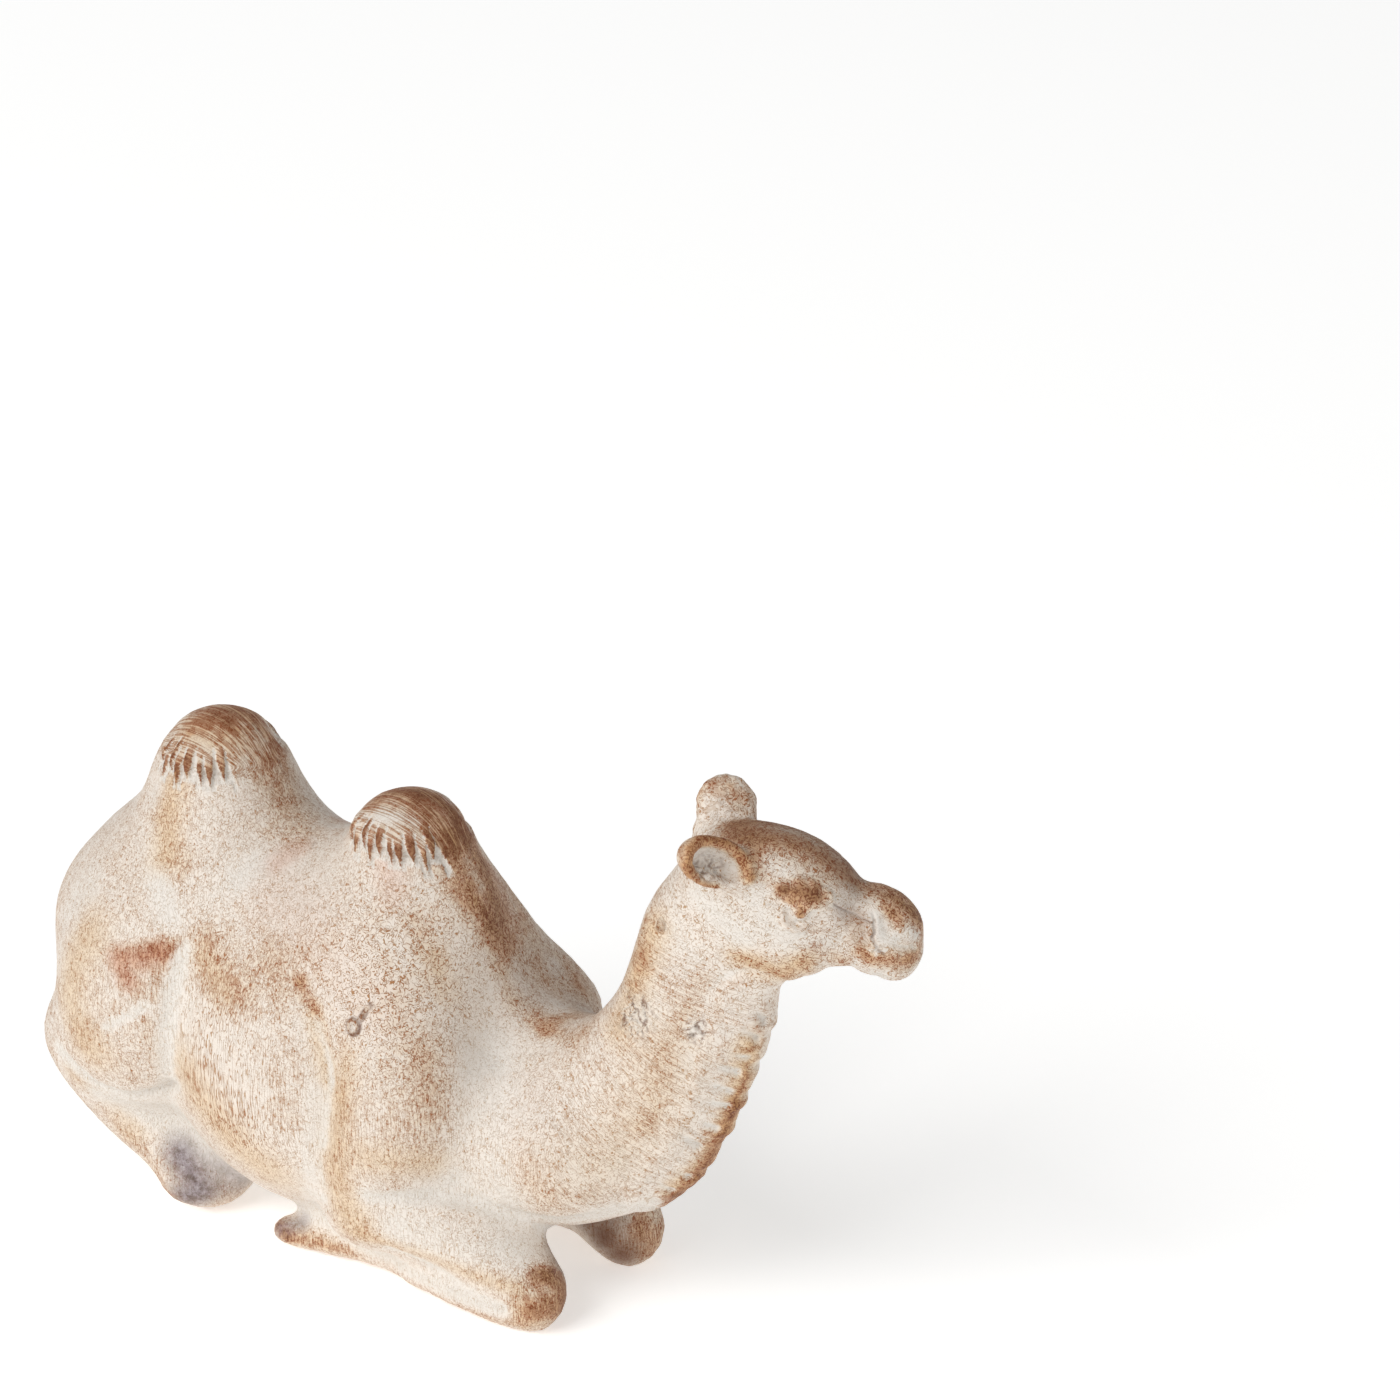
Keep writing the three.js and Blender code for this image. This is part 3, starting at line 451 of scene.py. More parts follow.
FOLDS = [
    (-0.4, 2.2, GROIN),
    (-0.2, 1, GROIN),
    (-0.45, 1.9, THIGH_CREASE),
    (-0.4, 0.9, THIGH_CREASE),
    (-0.55, 1.7, ARM_CREASE),
    (-0.35, 1.3, FLANK_FOLD),
    # nape
    (0.55, 4.5, [(46, -1, 62), (44.8, -1.5, 56), (43.8, -2, 51)]),
]
LIMB_SWELLS = [
    # hind shank, then fore cannon
    (0.35, 6, [(-42, -15.5, 18), (-35, -13, 10), (-26, -13, 5)]),
    (0.3, 3, [(-9, -12, 3), (0, -12, 2), (9, -13, 2)]),
]
BODY_SWELLS = [
    # rear of the hind hump
    (-0.65, 5, [(-30.5, -5.5, 70), (-31, -7, 67.5), (-31.5, -8, 65)]),
    # hind hoof, then fore hoof and cannon
    (0.4, 4, [(-28, -12.5, 3.5), (-24, -13, 1.5)]),
    (0.35, 4, [(-9.7, -12, 2.5), (-6.9, -12.6, 1.5), (13, -14, 1.5)]),
    # valley under the tail
    (0.9, 2.6, [(-43, 0, 21.6), (-40.5, -0.5, 19.6), (-36, 0, 18.2)]),
]
# The upper arm's rear edge: its place along the trunk at some heights
ARM_EDGE_HEIGHTS = [14, 18, 23, 28.5, 34.5, 40]
ARM_EDGE = [5.5, 5, 5.3, 6, 7, 7.8]


def fold_relief(mirrored):
    """Creases between the limbs, the crisp rear edge of the upper arm and the strip along the cannon."""
    relief = along_lines(mirrored, FOLDS) + along_lines(mirrored, LIMB_SWELLS, 0)
    relief += round_spots(mirrored, BODY_SWELLS)
    relief -= 0.4 * stroke(mirrored, STRIP, 1.6, 0.06)
    height = mirrored[:, 2]
    ahead = mirrored[:, 0] - np.interp(height, ARM_EDGE_HEIGHTS, ARM_EDGE)
    shown = ease((40 - height) / 5) * ease((height - 11) / 5) * (mirrored[:, 1] < -10)
    relief += 0.1 * shown * ease((ahead + 0.6) / 1.6) * ease(1 - ahead / 6)
    relief -= 0.15 * shown * ease(1 - np.abs(ahead + 2) / 1.5)
    return relief


def flaw_relief(places):
    """Marks the mould left on the right side: rings, a pit, a cracked flake and a scrape."""
    relief = np.zeros(len(places))
    for centre, radius in ((RING, RING_RADIUS), (SMALL_RING, SMALL_RING_RADIUS)):
        gap = away(places, centre)
        gap += 0.12 * np.sin(2 * np.arctan2(places[:, 2] - centre[2], places[:, 0] - centre[0]) + 1)
        relief += 0.42 * ease(1 - np.abs(gap - radius) / 0.45)
        relief -= 0.3 * ease(1 - gap / (0.8 * radius))
    relief += 0.3 * stroke(places, TICK, 0.5)
    rough = away(places, PIT) < 3.4
    relief[rough] += 0.6 * near(places[rough], PIT, 2.6) * lumps(places[rough], 0.8, 3)
    relief[rough] -= 0.6 * near(places[rough], PITS, 0.6)
    rough = away(places, FLAKE) < 5
    cracks = np.abs(lumps(places[rough], 1.4, 5))
    relief[rough] += near(places[rough], FLAKE, 4.4) * (0.16 - 0.5 * ease(1 - cracks / 0.14))
    relief -= 0.22 * ease(1.6 - along(places, SCRAPE)[0] / 0.75)
    return relief


FACE_LINES = [
    (-0.6, 0.75, LOWER_LID),
    # swelling under the eye
    (0.55, 0.9, [(1, -7.3, 1.3), (2.2, -7.4, 0.7), (3.6, -7.5, 0.7), (5, -7.4, 1.6)]),
    # groove behind the nostril, then the line of the mouth
    (-0.3, 1.1, [(13.4, -4.6, 6.4), (14.6, -4.7, 5.2), (15, -4.9, 3.8)]),
    (-0.3, 0.8, [(16.2, -4.6, 2.8), (17.8, -3.8, 3), (19.6, -2.2, 2.9)]),
]
FACE_SWELLS = [
    (0.4, 1.3, BROW_LUMPS),
    # eyeball
    (0.35, 1.2, [(3, -7.9, 3.3)]),
    # nostril's wing, then the upper lip
    (0.3, 1.3, [(16.3, -3.6, 5.2), (17.4, -3, 5)]),
    (0.25, 1.5, [(17, -4, 1.2), (18.6, -3, 1.6)]),
    # dip above the nose, and its top
    (-0.45, 3.4, [(9.5, -1, 7.6), (10.5, 0, 7.5)]),
    (-0.3, 3.6, [(13.5, 0, 7.9), (16, 0, 7.4)]),
    # jaw and chin, then the front of the lips
    (0.5, 3.4, [(5.8, -4.7, -7.3), (8, -4.9, -5), (11, -3.4, -2.6), (14.5, -3.2, -2.6), (18, -1.8, -2.4)]),
    (0.2, 3, [(20.3, -1.2, 1.5), (20.3, -1.9, -0.8)]),
]
CRACK_LINES = [(-0.45, 0.34, CRACK), (0.22, 1.3, CRACK), (-0.2, 0.3, HAIR_CRACK)]
CRACK_LINES += [(-0.3, 0.32, branch) for branch in CRACK_BRANCHES]


def face_relief(head, mirrored):
    """Brow, eyelids, nose and mouth on both sides; the crack is on the right side only."""
    relief = np.zeros(len(head))
    face = (mirrored[:, 0] > -3) & (np.linalg.norm(mirrored - [6, -4, 2], axis=1) < 18)
    spot = mirrored[face]
    relief[face] += along_lines(spot, FACE_LINES) + round_spots(spot, FACE_SWELLS)
    relief[face] += 0.2 * near(spot, BROW_LUMPS, 2.4) * lumps(spot, 0.8, 2)
    right_face = face & (head[:, 1] < 0)
    relief[right_face] += along_lines(head[right_face], CRACK_LINES)
    return relief


def ear_relief(head):
    """The right ear's thick rim and deep hollow with bits of the mould in it; the left ear's lumpy back."""
    relief = np.zeros(len(head))
    close = away(head, (-10, -8.5, 5.5)) < EAR_REACH
    spot = head[close]
    rim = np.maximum(stroke(spot, RIM, 1.5, 0), 0.7 * stroke(spot, LOWER_RIM, 0.9, 0))
    hollow = near(spot, EAR_HOLLOW, 2.3) * (1 - rim)
    bits = near(spot, [(-11.4, -10, 4.7), (-10.8, -9.2, 5), (-10, -8.6, 4.4), (-9.4, -8, 4.4)], 2)
    relief[close] += 0.5 * rim - 0.8 * hollow + bits * lumps(spot, 0.8, 7)
    close = away(head, LEFT_EAR) < EAR_REACH
    spot = head[close]
    relief[close] += 0.13 * lumps(spot, 0.9, 7)
    relief[close] += 0.25 * near(spot, [(-9.5, 6.2, 7), (-12, 6.3, 7.6)], 3.5)
    relief[close] -= 0.6 * near(spot, [(-14.8, 4.8, 4.2)], 2.6)
    return relief


def move_ears(places):
    """Draws the right ear's tip out to its full length, and sets the left ear a little further forward."""
    head = in_head(places)
    reach = (head - RIGHT_EAR) @ [-0.88, -0.45, 0.12]
    of_ear = ease((-head[:, 1] - 6) / 2.2) * ease((-5 - head[:, 0]) / 2)
    forward, left, up = np.outer(1.1 * of_ear * ease((reach + 3.5) / 6), [-0.88, -0.45, 0.02]).T
    level = forward * cos(HEAD_DROP) + up * sin(HEAD_DROP)
    move = np.stack([level * cos(HEAD_TURN) - left * sin(HEAD_TURN),
                     level * sin(HEAD_TURN) + left * cos(HEAD_TURN),
                     up * cos(HEAD_DROP) - forward * sin(HEAD_DROP)], 1)
    of_left_ear = ease((head[:, 1] - 3.5) / 2) * ease((-6 - head[:, 0]) / 2)
    of_left_ear *= ease((head[:, 2] - 0.5) / 2.5)
    return places + move + np.outer(of_left_ear, [0.6, 0, 0])


def move_shoulder(places):
    """The left shoulder lies further forward than the right one."""
    shift = ease((places[:, 1] - 1) / 6) * ease((places[:, 0] - 8) / 14) * ease((36 - places[:, 0]) / 8)
    shift *= ease((places[:, 2] - 22) / 8) * ease((48 - places[:, 2]) / 14)
    return places + np.outer(2.9 * shift, [1, 0.1, 0.3])


RESTING = 0.15  # what lies lower than this rests on the table
CLEAR = 0.02  # and nothing else sinks lower than this


def push(mesh, amount):
    """Moves the surface along its own outward direction; what rests on the table stays there."""
    places = read(mesh)
    moved = places + amount[:, None] * read(mesh, "normal")
    moved[:, 2] = np.where(places[:, 2] < RESTING, places[:, 2], np.maximum(moved[:, 2], CLEAR))
    write(mesh, moved)


def carve(body):
    mesh = body.data
    places = move_ears(move_shoulder(read(mesh)))
    on_throat = ease((7 - along(places, THROAT)[0]) / 2)
    write(mesh, places + on_throat[:, None] * (neighbours_mean(mesh, places, 50) - places))
    push(mesh, 0.55 * on_throat)
    push(mesh, fold_relief(right_side(read(mesh))))
    places = read(mesh)
    head = in_head(places)
    relief = tuft_relief(places) + far_tuft_relief(places)
    relief += mane_relief(places, right_side(places)) + flaw_relief(places)
    relief += face_relief(head, right_side(head)) + ear_relief(head)
    push(mesh, relief + 0.035 * lumps(places, 1.6, 11) + 0.05 * lumps(places, 5, 13))


carve(casting)


# Paint. A rust undercoat shows where the cream coat is rubbed back; each stroke says how much,
# how far it reaches to either side, and the places it runs through.

RUST = [
    # hind hump: over the top, down its front, behind its tufts
    (0.22, 6, [(-27, -6, 72), (-24, -3, 74), (-19.5, -2, 72), (-17.5, -1, 69.5)]),
    (0.22, 5, [(-29, 0, 73), (-24, 0, 75.5), (-19, 0, 72.5)]),
    (0.5, 5, [(-16, -1, 67), (-13.5, -1, 63.5), (-11, -1, 60)]),
    (0.28, 5, [(-26, -9.5, 66.5), (-27, -11.5, 61), (-24, -13.5, 56.5)]),
    (0.3, 4, [(-13.5, -6, 61), (-9.5, -4, 60)]),
    # hook above the thigh
    (0.4, 1.8, [(-21.5, -17, 46.5), (-25.5, -18, 45.5), (-30, -19, 44)]),
    (0.36, 3.6, [(-22, -17.5, 45.5), (-25.5, -18.5, 44), (-30, -19.5, 43), (-28, -20, 40)]),
    # top of the belly behind the groin
    (0.36, 4, [(-17, -16.5, 47), (-14, -17, 45), (-10.5, -18, 43)]),
    (0.32, 4.4, [(-17.5, -17.5, 43), (-12.5, -18.5, 41), (-9, -19, 41)]),
    (0.28, 7, [(-14, -16, 49), (-8, -17, 47), (-2, -17, 48)]),
    # side of the belly
    (0.14, 8, [(-16, -19, 28), (-11, -19, 20)]),
    # fold on the flank
    (0.85, 2.1, [(-1, -16.6, 46.2), (0.6, -16.9, 44.4), (1.6, -17.2, 43)]),
    (0.5, 1.6, [(1.6, -17.2, 43), (2.7, -17.5, 41.6), (4, -18, 39)]),
    # fore hump: over the top and down its ridge to the neck
    (0.5, 5, [(2, -2, 69.5), (5, 0, 70), (9.5, -2, 68.5), (13, -2, 65), (16, -1, 61)]),
    (0.25, 3.6, [(11, -6, 63), (14.5, -4, 61), (16, -4, 57)]),
    (0.6, 3.6, [(13, -1, 65), (16, -3, 60.5), (19, -1, 54.5), (20, 0, 50), (23, 0, 43.5), (28.5, -1, 40.5)]),
    (0.3, 2.4, [(26, -1, 41), (31, -2, 40.5), (36, -3.5, 42.5)]),
    # dense speckle on the shoulder
    (0.3, 2.8, [(13, -9, 56), (14.5, -9, 53), (16, -8.5, 50)]),
    (0.06, 6, [(11, -16, 44), (16, -16, 42), (18, -18, 36)]),
    (0.26, 4, [(19.5, -16.5, 41), (20.5, -17.5, 34), (20, -17.5, 28)]),
    # neck, from the ear down to the chest
    (0.28, 3.4, [(54, -3, 55), (53, -3.5, 52.5), (51, -5.5, 46), (50.5, -6, 38), (48, -7, 33)]),
    (0.15, 2.4, [(40.5, -9, 22), (37.5, -11.5, 22)]),
    (0.35, 3, [(46, -2, 61), (45, -3.5, 55), (44, -3, 48)]),
    (0.88, 3.6, [(62.5, 2.5, 51), (61.5, 2, 46.5), (59.5, 1.5, 40.5), (58, 0.3, 35.5), (55, 0, 29),
                 (52.5, 0, 25), (48, 0, 19)]),
    # knees and hoof tips
    (0.95, 2.6, [(34, -13, 9.5), (35.5, -11, 9), (36.5, -9, 7)]),
    (0.68, 4.6, [(34, -15, 5), (36, -13, 5), (37, -10, 4)]),
    (0.3, 4, [(37, 10, 8.5), (38, 11, 4), (37, 7, 4)]),
    (0.9, 2, [(-9.5, -12, 3), (-8, -12.5, 2.5)]),
    (0.5, 2.4, [(-7.5, -12.5, 2.5), (-3, -12.5, 3), (2, -13, 3)]),
    (0.3, 3, [(-40, -13, 3.5), (-20, -14, 2.5)]),
    # lower edges of the limbs
    (0.3, 2.4, [(-41.5, -17.5, 20), (-37, -16, 15), (-30, -13, 4)]),
    (0.3, 2, [(4, -14, 4), (14, -15.5, 2), (24, -16, 1.5), (33, -15, 2)]),
    (0.15, 2, [(9.5, -19, 11), (15, -17.5, 10), (21, -17, 9.5), (27.5, -16.5, 9), (32.5, -15.5, 8.5)]),
]

# Yellowed coat
OCHRE = [
    # thigh, side of the belly, upper arm, shank
    (0.8, 7, [(-36.5, -19, 45), (-39, -19, 40), (-40, -19, 34), (-36, -20, 28)]),
    (0.8, 8, [(-20, -17, 28), (-16, -19, 24), (-11, -19, 18.5), (-7.5, -18, 16)]),
    (0.5, 5, [(8.5, -19.5, 36), (7.4, -20, 29), (6.8, -20, 23), (7, -20, 17), (8.5, -19.5, 13)]),
    (0.7, 5, [(12.5, -21.5, 25), (17.5, -20.5, 25), (20.5, -17.5, 24)]),
    (0.6, 4, [(-41.5, -17.5, 20), (-37, -18, 18), (-34, -14, 12)]),
    # nape, side of the neck, throat
    (0.8, 5, [(47, -2.5, 61), (45, -4, 54), (43, -6, 47)]),
    (0.4, 9, [(50, -5, 45), (48, -7, 36), (44, -9, 28), (36, -11, 25)]),
    (1.0, 3.6, [(60, 0, 46), (58, 0, 36), (54, 0, 28), (50, -2, 22)]),
    # humps, and the flank below them
    (0.8, 5, [(-27, -10, 68), (-27, -12, 62), (-26, -13, 57)]),
    (0.6, 5, [(-27, -5, 73), (-22, -4, 73)]),
    (0.5, 4, [(15.5, -9, 51), (17, -9, 46)]),
    (0.6, 4, [(-18, -17, 46), (-13, -18, 42)]),
    (0.7, 3, [(2, -17.5, 42), (4.5, -18.5, 34)]),
    # forearm, knee and hoof
    (0.7, 2.4, [(9.5, -19, 11), (21, -17, 9.5), (32.5, -15.5, 8)]),
    (0.6, 5, [(34, -15, 4), (37, -11, 4)]),
    (0.5, 3, [(-7, -12, 3), (4, -14, 3)]),
]

# Pinkish coat: the hooked mark above the thigh, the back, the fore hump and the chest
PINK = [
    (0.9, 3.2, [(-24, -18, 45), (-27, -19, 43.5), (-30.5, -19.5, 43), (-28.5, -20, 40.5)]),
    (0.2, 9, [(-8, -12, 55), (2, -12, 50), (10, -14, 45)]),
    (0.5, 4, [(8, -7.5, 62), (9, -8, 58)]),
    (0.1, 7, [(31, -9, 33), (34, -11, 26)]),
    (0.5, 3, [(-11, -8, 58), (-9, -5, 60)]),
]

# Violet brown on the hoofs, and the same violet brown painted as shade where the limbs shade each other
VIOLET = [
    (1.0, 5, [(-26.5, -12.5, 10), (-24.5, -13, 8), (-23, -12.5, 5), (-25, -13.5, 4)]),
    # painted shade on the hind foot's front, where it meets the belly
    (0.6, 5, [(-20.5, -10, 9), (-19.5, -8, 5.5)]),
    (0.7, 2.4, [(-9.5, -12, 3), (-6, -12, 5)]),
    # painted shade between the belly and the fore cannon, and under the chest
    (0.35, 3, [(-5, -12, 12), (2, -12, 12)]),
    (0.3, 4, [(30, -3, 12), (34, -8, 9)]),
]

# Whole cream coat
WHITE = [
    # creases and the hollows beside them
    (1.0, 2, GROIN),
    (1.0, 2.6, THIGH_CREASE),
    (0.9, 3.4, [(-38, -16.5, 18), (-32, -15.5, 17.5), (-27, -14, 17.5), (-25, -12, 15)]),
    (0.95, 2.4, ARM_CREASE),
    (0.55, 2.4, [(2.2, -18.5, 31), (1.2, -18.5, 24), (1, -18, 18)]),
    # below the humps
    (0.7, 3.6, [(-26, -15, 53.5), (-23.5, -16, 50)]),
    (0.7, 3, [(-11.5, -9, 60.5), (-15, -12.5, 56)]),
    # cannon and forearm
    (1.0, 2, [(12, -13.5, 4), (20, -15.5, 4.5), (25.5, -16, 4), (30.5, -16, 4)]),
    (0.7, 5, [(16, -17, 13.5), (24, -14.5, 12), (31, -13, 12)]),
    # before the shoulder, and the chest
    (0.6, 5, [(27, -8, 32), (28, -11, 24), (29, -12, 19)]),
    (0.6, 3, [(22, -10, 43), (23, -11, 36)]),
    (0.35, 7, [(33, -9, 31), (37, -10, 26)]),
    (0.75, 3, [(40, -6, 18), (46, -3, 19)]),
    # drip behind the elbow, top of the fore hump, nape, rump
    (0.8, 1.2, [(-1, -16, 13.5), (3, -18.5, 14.5)]),
    (0.6, 1.6, [(5, -5.5, 68), (9.5, -4, 67.5)]),
    (0.5, 4, [(56, -3, 60), (52, -3.5, 62), (51, -3, 66)]),
    (0.5, 5, [(-44, -15, 44), (-40, -14, 52)]),
] + [(0.9, 1, [np.mean(dimple, 0), dimple[1]]) for dimple in DIMPLES]

# On the right side alone
SCRAPED = [(0.8, 0.9, SCRAPE), (0.8, 2.4, [PIT]), (0.6, 3.4, [FLAKE]), (0.8, 0.8, [RING])]

# The worn rear edge of the right upper arm, down round the elbow
ARM_RUST = [
    (0.1, 4, [(8.5, -19.3, 39), (7.6, -19.5, 33)]),
    (0.2, 5.6, [(7.2, -19.6, 31), (6.4, -19.8, 23), (6.4, -20, 17), (8.5, -19.5, 13)]),
]

# Rust on the left shoulder alone; the dark marks lay it on again as painted shade of the far shoulder and
# its ridge
LEFT_RUST_AND_SHADE = [
    (0.35, 9, [(19, 6, 54), (22, 8, 46), (25, 10, 40)]),
    (0.3, 8, [(28, 8, 44), (30, 10, 34)]),
    (0.5, 5, [(19.5, 1.5, 54), (20.5, 3, 50), (22, 4.5, 45), (24, 3.5, 42)]),
]

# On the head, in its own frame: forward, left, up
HEAD_RUST = [
    # brow and the spot below it
    (1.0, 2.3, [(-0.1, -7, 4.9), (0.8, -7, 5.6), (2, -7.2, 5.9), (3.6, -7, 6.2)]),
    (0.6, 1.5, [(3.6, -7, 6.2), (5, -6.4, 6)]),
    (0.7, 1.9, [(1.3, -7.2, 4.4), (3, -7.4, 4.8)]),
    (0.6, 1.8, [(1.3, -6.2, 6.8), (3.3, -5.9, 7)]),
    (1.0, 1.1, [(3, -7.8, 4), (3.2, -8, 3.1)]),
    # crown and forehead
    (0.8, 4.6, [(-9, -1.5, 7), (-6, -3, 7.6), (-4.5, -5.3, 6.3)]),
    (0.65, 4.5, [(-4, -2, 9), (0, -2.5, 9.3), (5, -2, 8.8)]),
    # nose
    (0.8, 3.4, [(8, -1, 7.8), (10.5, -0.8, 7.6), (13.5, -1, 7.8), (16, -1, 7.2), (18, -0.5, 6)]),
    (0.7, 1.7, [(13, -3, 6.8), (15.2, -3.4, 5.8)]),
    # lips
    (0.8, 2.2, [(12.8, -4.7, 0), (14.3, -4.7, -0.1), (16.2, -4.5, 0.4), (18.1, -3.8, 0.8),
                (19.5, -2.5, 1.2)]),
    (0.5, 2, [(19.6, -1.8, 4.6), (20.3, -1.4, 2.4)]),
    # jaw
    (0.5, 3.2, [(-1, -6, -7), (4.3, -5.5, -7), (6, -6.3, -4), (7, -6.5, 0.5)]),
    (0.35, 2.5, [(9, -4.5, -1.5), (12, -4, -2.2)]),
    (0.3, 2.6, [(7.5, -5, 4), (10.5, -4.2, 3.5), (11.5, -4.2, 1.5)]),
]
LEFT_EAR_RUST = [
    (0.6, 3, [(-15, 6.5, 5), (-14.8, 6.7, 7.4), (-12.5, 6.5, 8.6), (-9.7, 6.4, 8)]),
    (0.25, 5, [(-12, 5.5, 6.5)]),
]
HEAD_SHADE = [
    # brow, crown, and the side of the muzzle
    (0.6, 2, [(-0.1, -7, 4.9), (0.8, -7, 5.6), (2, -7.2, 5.9), (3.6, -7, 6.2)]),
    (0.9, 5, [(-9, -1, 7), (-4, -1, 9.5), (3, -1, 9.2), (8, -1, 8)]),
    (0.7, 2.6, [(7.5, -4.8, 4.5), (10.8, -4.2, 4), (12, -4.2, 2)]),
]
HEAD_OCHRE = [
    (0.8, 4, [(-1, -6, -7), (4.3, -5.5, -7), (6, -6.3, -4)]),
    (0.5, 3, [(1, -6.8, 5.5), (5, -6.4, 6)]),
    (0.5, 3, [(14, -4.8, 0.8), (19, -2.8, 1.6)]),
]
HEAD_WHITE = [
    (0.8, 3.6, [(-9.5, -5, -2), (-6, -6.5, -3), (-2.6, -7, -4)]),
    (0.5, 3, [(-3, -6.5, 2.5), (-1, -7.5, -0.5), (3, -7, -1.5), (7.5, -6, 0.5)]),
    (1.0, 0.9, LOWER_LID),
    (1.0, 0.5, [(14.3, -5, 2), (14.6, -5, 0.8)]),
    (1.0, 0.45, [(13.6, -5, 1), (14.5, -5, 1.4), (15.6, -4.8, 1.9)]),
    (0.95, 1.5, [(12.2, -4.3, 5.4), (13.6, -4.7, 4.2), (14.6, -4.9, 3.2), (16, -4.4, 3.6)]),
    (0.8, 1.4, [(17.4, -3.2, 4.8), (18.8, -2.2, 4.4)]),
    (0.5, 2.4, [(-3, -5, 6.6), (8, -5.4, 4.6)]),
    (0.8, 1.8, [(13, -3.5, -1.9), (17, -3, -2.6)]),
    (0.9, 3, [(-10.5, -8.2, 5.4)]),
]
NOSTRIL = (14.6, -4.2, 5.6)

# The neck's middle line, from the chest to the skull, and how far its brush lines run
NECK = [(30, 0, 24), (38, 0.5, 29.5), (45.5, 0.5, 39.5), (49.5, 2, 48.5), (51, 4, 58.5), (54.5, 5.5, 65.5)]
NECK_RUN = 46
MUZZLE_RADIUS = 6


def brushed(places, strokes):
    """How much paint a set of strokes leaves at each place, from 0 to 1."""
    bare = np.ones(len(places))
    for strength, reach, line in strokes:
        if len(line) == 1:
            bare *= 1 - strength * near(places, line[0], reach)
        else:
            bare *= 1 - strength * stroke(places, line, reach, 0)
    return 1 - bare


def over(first, second):
    """What two layers of paint cover together."""
    return 1 - (1 - first) * (1 - second)


def line_at(values, middle, half, depth):
    """A line where values pass a middle one; a depth over 1 leaves it flat and full in its middle."""
    return ease(depth - np.abs(values - middle) / half)


def rise(mesh, places, rounds):
    """How far each point stands above its surroundings, in millimetres."""
    return ((places - neighbours_mean(mesh, places, rounds)) * read(mesh, "normal")).sum(1)


def head_and_ears(head):
    """How far each place belongs to the head and to the ears, from 0 to 1."""
    of_head = ease((15.5 - np.linalg.norm((head - [4, 0, 1]) * [0.72, 1, 1], axis=1)) / 3)
    of_head *= ease((head[:, 0] + 13) / 3)
    ear_gap = away(right_side(head), (-10, -7.5, 5))
    of_ears = ease((7.5 - ear_gap) / 1.5) * ease((np.abs(head[:, 1]) - 4) / 1.5)
    return of_head, of_ears


def caps(places):
    """How far each place belongs to a hump's cap, and how far across the trunk it lies on it."""
    cap = np.zeros(len(places))
    run = np.zeros(len(places))
    for hump in HUMPS:
        ahead, level = above_cap_edge(places, hump)
        here = ease((level + 1.5) / 2.5) * (np.hypot(ahead, places[:, 1]) < CAP_REACH)
        cap = np.maximum(cap, here)
        turn = np.arctan2(places[:, 1], places[:, 2] - hump["edge"] + CAP_DEPTH)
        run += here * turn * CAP_RADIUS
    return cap, run


def dark_marks(places, head, skin_head, of_ears):
    """Dark lines in the cracks, rings and chips, and painted shade on the crown, brow, side of the muzzle,
    left shoulder and inner forelegs.
    """
    of_right = (head[:, 1] < 0) * skin_head
    broken = 0.75 + 0.25 * np.clip(3 * lumps(places, 1.2, 4), -1, 1)
    scratches = near(places, FLAKE, 4.6) * line_at(lumps(places * [1, 1, 0.3], 0.9, 5), 0, 0.09, 1.3)
    chips = near(places, PIT, 2.8) * line_at(lumps(places, 1, 9), 0, 0.1, 1.2)
    in_ear = near(head, [(-10.8, -9.4, 4.7), (-9.6, -8, 4.5)], 2.8)
    in_ear *= line_at(lumps(head, 1.1, 21), 0, 0.1, 1.3)
    layers = [
        stroke(head, CRACK, 0.32, 0) * of_right,
        0.75 * stroke(head, HAIR_CRACK, 0.28, 0) * of_right,
        0.7 * near(right_side(head), NOSTRIL, 0.9) * skin_head,
        0.6 * near(places, PITS, 0.6),
        broken * line_at(away(places, RING), 1.15, 0.28, 1.3),
        broken * line_at(along(places, TICK)[0], 0.4, 0.22, 1.1),
        0.5 * broken * line_at(away(places, SMALL_RING), 0.7, 0.24, 1.1),
        0.75 * np.minimum(2 * scratches, 1),
        0.8 * np.minimum(2 * chips, 1),
        0.65 * np.minimum(1.6 * in_ear, 1) * of_ears,
        # painted shade on the far, left shoulder and its ridge to the neck
        0.3 * brushed(places, LEFT_RUST_AND_SHADE),
        # painted shade on the brow, the crown and the side of the muzzle
        0.6 * brushed(right_side(head), HEAD_SHADE) * skin_head,
        # painted shade on the inner side of each foreleg by the knee, under the chest
        0.95 * near(right_side(places), [(30, -5, 8), (33, -6, 5.5), (35.5, -6.5, 3)], 6),
    ]
    layers += [0.4 * stroke(head, branch, 0.28, 0) * of_right for branch in CRACK_BRANCHES]
    return np.maximum.reduce(layers)


